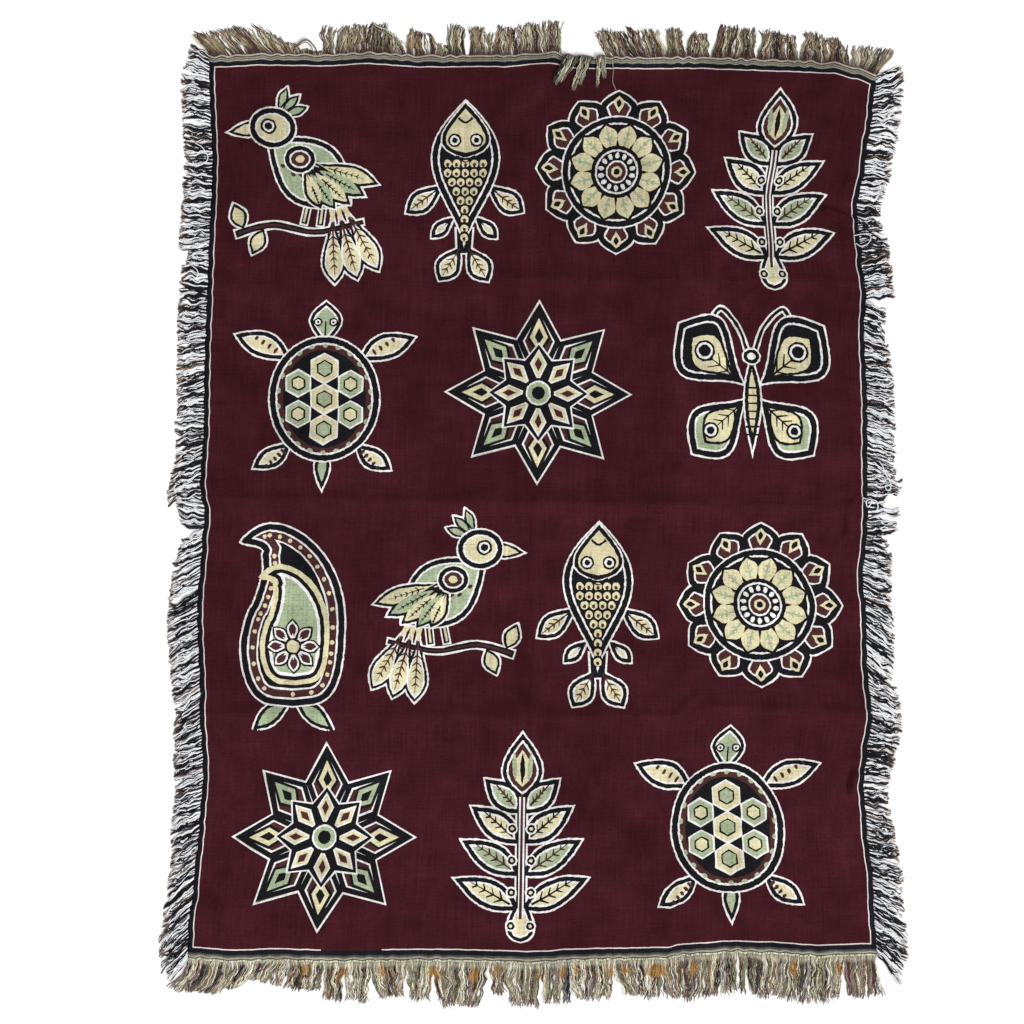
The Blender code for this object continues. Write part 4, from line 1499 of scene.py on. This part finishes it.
def rescale(tree, value, low, high):
    """A value from 0 to 1 brought to the range from low to high."""
    return compute(tree, "MULTIPLY_ADD", value, high - low, low)


def mix_colours(tree, share, first, second, blend="MIX"):
    """Two colours mixed, where sockets or colours are given."""
    inputs = {0: share, 6: first, 7: second}
    node = add_node(tree, "Mix", inputs, data_type="RGBA", blend_type=blend)
    return node.outputs[2]


def noise(tree, vector, scale, detail=2.0, stretch=(1, 1, 1)):
    """Noise from 0 to 1 over a vector, at a scale in swells for each metre."""
    stretched = add_node(tree, "VectorMath", {0: vector, 1: stretch}, operation="MULTIPLY").outputs[0]
    node = add_node(tree, "TexNoise", {"Vector": stretched, "Scale": scale, "Detail": detail})
    return node.outputs["Fac"]


def read_attribute(tree, name, output="Vector"):
    """A value stored on the mesh."""
    return add_node(tree, "Attribute", attribute_name=name).outputs[output]


def grey(tree, shade):
    """A shade as a colour."""
    return add_node(tree, "CombineColor", {0: shade, 1: shade, 2: shade}).outputs[0]


def emboss(tree, shader, height, strength, depth):
    """Raise the surface by a height from 0 to 1, over a depth in millimetres."""
    inputs = {"Strength": strength, "Distance": depth * MM, "Height": height}
    tree.links.new(add_node(tree, "Bump", inputs).outputs[0], shader.inputs["Normal"])


def rgba(colour):
    """A colour from 0 to 255 as the linear colour that a socket holds."""
    return (*linear(colour), 1.0)


def new_material(name, **surface_values):
    """A material with a surface shader that has the given plain values: its tree and shader."""
    material = bpy.data.materials.new(name)
    material.use_nodes = True
    shader = material.node_tree.nodes["Principled BSDF"]
    for key, value in surface_values.items():
        shader.inputs[key.replace("_", " ")].default_value = value
    return material, material.node_tree, shader


def yarn_ramp(tree, tag, shade):
    """Colour of the woven yarn that a face is tagged with: 0 for its own, 1 for its flecks."""
    ramp = add_node(tree, "ValToRGB", {0: tag})
    ramp.color_ramp.interpolation = "CONSTANT"
    elements = ramp.color_ramp.elements
    elements[0].color = rgba(YARNS[0][shade])
    elements[1].position = 1 / len(YARNS)
    elements[1].color = rgba(YARNS[1][shade])
    for index in range(2, len(YARNS)):
        elements.new(index / len(YARNS)).color = rgba(YARNS[index][shade])
    return ramp.outputs[0]


def border_bands(tree, colour, u, v, flat):
    """The colour with the woven border lines and bands laid over it along the edges."""
    wander = rescale(tree, noise(tree, flat, WANDER_SCALE), -WANDER, WANDER)
    wave = compute(tree, "SINE", times(tree, u, math.tau / SCALLOP_LENGTH))
    side = compute(tree, "SUBTRACT", HALF_WIDTH / MM, compute(tree, "ABSOLUTE", u))
    end = compute(tree, "SUBTRACT", HALF_LENGTH / MM, compute(tree, "ABSOLUTE", v))
    at_top = compute(tree, "GREATER_THAN", v, 0.0)
    side_in = compute(tree, "ADD", side, wander)
    end_in = compute(tree, "ADD", end, wander)
    from_middle = apart(tree, u, sum(HIDDEN_LINE) / 2)
    half_hidden = (HIDDEN_LINE[1] - HIDDEN_LINE[0]) / 2
    shown = compute(tree, "MAXIMUM", at_top, compute(tree, "GREATER_THAN", from_middle, half_hidden))
    end_white = times(tree, shown, below(tree, end_in, END_WHITE))
    white = compute(tree, "MAXIMUM", end_white, below(tree, side_in, SIDE_WHITE))
    black = compute(tree, "MAXIMUM", below(tree, side_in, SIDE_BLACK), below(tree, end_in, END_BLACK))
    colour = mix_colours(tree, white, colour, rgba(LINE_WHITE))
    colour = mix_colours(tree, black, colour, rgba(BAND_BLACK))
    colour = mix_colours(tree, below(tree, end_in, END_GREY), colour, rgba(GREY_BAND))
    for middle in GREY_LINES:
        middle = compute(tree, "MULTIPLY_ADD", wave, GREY_LINE_WAVE, middle)
        line = below(tree, apart(tree, end, middle), GREY_LINE_HALF_WIDTH)
        colour = mix_colours(tree, line, colour, rgba(GREY_BAND_LINE))
    inner = compute(tree, "GREATER_THAN", end_in, BOTTOM_DUSK)
    dusk = times(tree, times(tree, inner, below(tree, end_in, END_GREY)), below(tree, v, 0.0))
    colour = mix_colours(tree, dusk, colour, rgba(DUSK_GREY))
    colour = mix_colours(tree, below(tree, end, END_GAP), colour, rgba(GAP_GREY))
    knots = noise(tree, flat, KNOT_SCALE, 2.0, (1.0, 0.2, 1.0))
    knots = compute(tree, "GREATER_THAN", knots, KNOT_LIMIT)
    stitch = mix_colours(tree, knots, rgba(BOTTOM_STITCH), rgba(KNOT_SHADE))
    stitch = mix_colours(tree, at_top, stitch, rgba(TOP_STITCH))
    return mix_colours(tree, below(tree, end, END_STITCH), colour, stitch)


def weave(tree, u, v, flat):
    """Height of the woven surface from 0 to 1: picks across it, bound down by the warp."""
    slip = rescale(tree, noise(tree, flat, SLIP_SCALE, 3.0), -SLIP, SLIP)
    waves = []
    for along, pitch in ((v, PICK_PITCH), (u, WARP_PITCH)):
        turns = times(tree, compute(tree, "ADD", along, slip), math.tau / pitch)
        waves.append(compute(tree, "SINE", turns))
    return rescale(tree, times(tree, *waves), 0.5, 1.0)


def woven_cloth():
    """Jacquard weave: the tagged yarns, flecks of the yarns beneath, bands, ribs and lint, with painted
    shade between the ribs and painted light towards the bottom end.
    """
    material, tree, shader = new_material("jacquard_weave", Specular_IOR_Level=0.03)
    flat = read_attribute(tree, "flat")
    parts = add_node(tree, "SeparateXYZ", {0: flat})
    u, v = (times(tree, parts.outputs[axis], 1 / MM) for axis in (0, 1))
    tag = read_attribute(tree, "yarn", "Fac")
    streaks = noise(tree, flat, FLECK_SCALE, 2.0, (1.0, 4.0, 1.0))
    flecks = times(tree, compute(tree, "GREATER_THAN", streaks, FLECK_LIMIT), FLECK_DEPTH)
    colour = mix_colours(tree, flecks, yarn_ramp(tree, tag, 0), yarn_ramp(tree, tag, 1))
    colour = border_bands(tree, colour, u, v, flat)
    ribs = weave(tree, u, v, flat)
    # Painted light: lighter towards the bottom end, darker towards the top
    shade = compute(tree, "MULTIPLY_ADD", v, -PAINTED_LIGHT_ALONG, 1.0)
    for scale, detail, stretch, depth in MOTTLES:
        mottle = noise(tree, flat, scale, detail, stretch)
        shade = times(tree, shade, rescale(tree, mottle, 1 - depth, 1 + depth))
    # Painted shade: the colour is darker low between the woven ribs, where shade falls
    shade = times(tree, shade, rescale(tree, ribs, 0.83, 1.01))
    colour = mix_colours(tree, 1.0, colour, grey(tree, shade), "MULTIPLY")
    tree.links.new(colour, shader.inputs["Base Color"])
    lint = noise(tree, flat, CLOTH_LINT_SCALE, 3.0)
    tree.links.new(rescale(tree, lint, 0.80, 1.0), shader.inputs["Roughness"])
    emboss(tree, shader, compute(tree, "MULTIPLY_ADD", lint, 0.35, ribs), 0.6, RIB_DEPTH)
    return material


def fringe_yarn(name, twist_pitch, fuzz):
    """Plied yarn: each yarn's own tone, with painted shade in the grooves between its plies."""
    material, tree, shader = new_material(name, Sheen_Weight=0.06, Sheen_Roughness=0.6,
                                          Specular_IOR_Level=0.1)
    ply = read_attribute(tree, "ply")
    parts = add_node(tree, "SeparateXYZ", {0: ply})
    around = compute(tree, "ARCTAN2", parts.outputs[2], parts.outputs[1])
    turn = compute(tree, "MULTIPLY_ADD", parts.outputs[0], math.tau / (twist_pitch * MM), around)
    ridge = rescale(tree, compute(tree, "SINE", turn), 0.5, 1.0)
    lint = noise(tree, ply, YARN_LINT_SCALE, 2.0)
    # Painted shade: the tone is darker in the grooves between the plies
    shade = times(tree, rescale(tree, ridge, 0.80, 1.08), rescale(tree, lint, 1 - fuzz, 1 + fuzz))
    tone = read_attribute(tree, "tone", "Color")
    colour = mix_colours(tree, 1.0, tone, grey(tree, shade), "MULTIPLY")
    tree.links.new(colour, shader.inputs["Base Color"])
    tree.links.new(rescale(tree, lint, 0.78, 0.98), shader.inputs["Roughness"])
    emboss(tree, shader, ridge, 0.7, GROOVE_DEPTH)
    return material


def floor_paint():
    """Pale matt floor."""
    material, tree, shader = new_material("pale_floor", Specular_IOR_Level=0.1, Roughness=0.9)
    place = add_node(tree, "TexCoord").outputs["Object"]
    shade = rescale(tree, noise(tree, place, 1.5), 0.96, 0.98)
    tree.links.new(grey(tree, shade), shader.inputs["Base Color"])
    return material


def find_shift():
    """How far the part moved its points to stand over the origin, from its lowest left corner."""
    points = [vert.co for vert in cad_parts["blanket"].data.vertices]
    corner = min(points, key=lambda point: point.x + point.y)
    x, y = plan(np.array([-HALF_WIDTH]), np.array([-HALF_LENGTH]))
    return np.array((corner.x - x[0], corner.y - y[0], 0.0))


def dress(piece, material):
    """Give a piece its material, and let it ride on the part's body."""
    piece.data.materials.append(material)
    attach(piece, "root")


def build_floor():
    """A plain floor that reaches far past the view."""
    corners = np.array([(-1, -1, 0), (1, -1, 0), (1, 1, 0), (-1, 1, 0)]) * FLOOR_REACH
    floor = add_piece("floor", corners, [(0, 1, 2, 3)])
    floor.data.materials.append(floor_paint())


def light_scene():
    """Soft even light from all over, and a broad soft source above the bottom right corner."""
    world = bpy.data.worlds.new("studio")
    bpy.context.scene.world = world
    world.use_nodes = True
    background = world.node_tree.nodes["Background"]
    background.inputs["Color"].default_value = (1.0, 1.0, 1.0, 1.0)
    background.inputs["Strength"].default_value = SKY_STRENGTH
    lamp = bpy.data.lights.new("soft_source", "SUN")
    lamp.energy = SOURCE_STRENGTH
    lamp.angle = math.radians(SOURCE_WIDTH)
    source = bpy.data.objects.new("soft_source", lamp)
    source.rotation_euler = Vector(SOURCE_FROM).to_track_quat("Z", "Y").to_euler()
    bpy.context.scene.collection.objects.link(source)
    bpy.context.scene.view_settings.view_transform = "Standard"


def place_camera(shift):
    """The photo's view: almost straight down, from a little below the middle."""
    data = bpy.data.cameras.new("camera")
    data.lens = CAMERA_LENS
    data.clip_start = 0.05
    camera = bpy.data.objects.new("camera", data)
    angle = math.radians(CAMERA_ELEVATION)
    back = Vector((0.0, -math.cos(angle), math.sin(angle)))
    camera.location = Vector(CAMERA_TARGET) + Vector(shift) + back * CAMERA_DISTANCE
    camera.rotation_euler = back.to_track_quat("Z", "Y").to_euler()
    bpy.context.scene.collection.objects.link(camera)
    bpy.context.scene.camera = camera


def build_scene():
    """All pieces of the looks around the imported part."""
    shift = find_shift()
    cloth = build_cloth(shift)
    dress(cloth, woven_cloth())
    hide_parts("blanket")
    end_yarn = fringe_yarn("end_yarn_plied", END_TWIST_PITCH, END_FUZZ)
    side_yarn = fringe_yarn("side_yarn_plied", SIDE_TWIST_PITCH, SIDE_FUZZ)
    for side in FRINGES:
        fringe = build_fringe(side, shift)
        if side in ("top", "bottom"):
            dress(fringe, end_yarn)
        else:
            dress(fringe, side_yarn)
        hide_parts("fringe_" + side)
    threads = build_threads(shift)
    dress(threads, side_yarn)
    build_floor()
    light_scene()
    place_camera(shift)


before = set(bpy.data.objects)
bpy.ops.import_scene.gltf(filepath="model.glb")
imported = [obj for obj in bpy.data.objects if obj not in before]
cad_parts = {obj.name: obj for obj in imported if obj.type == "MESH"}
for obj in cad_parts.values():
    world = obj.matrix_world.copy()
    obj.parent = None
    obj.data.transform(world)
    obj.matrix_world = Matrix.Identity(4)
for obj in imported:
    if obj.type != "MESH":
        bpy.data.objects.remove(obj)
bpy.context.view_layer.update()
build_scene()
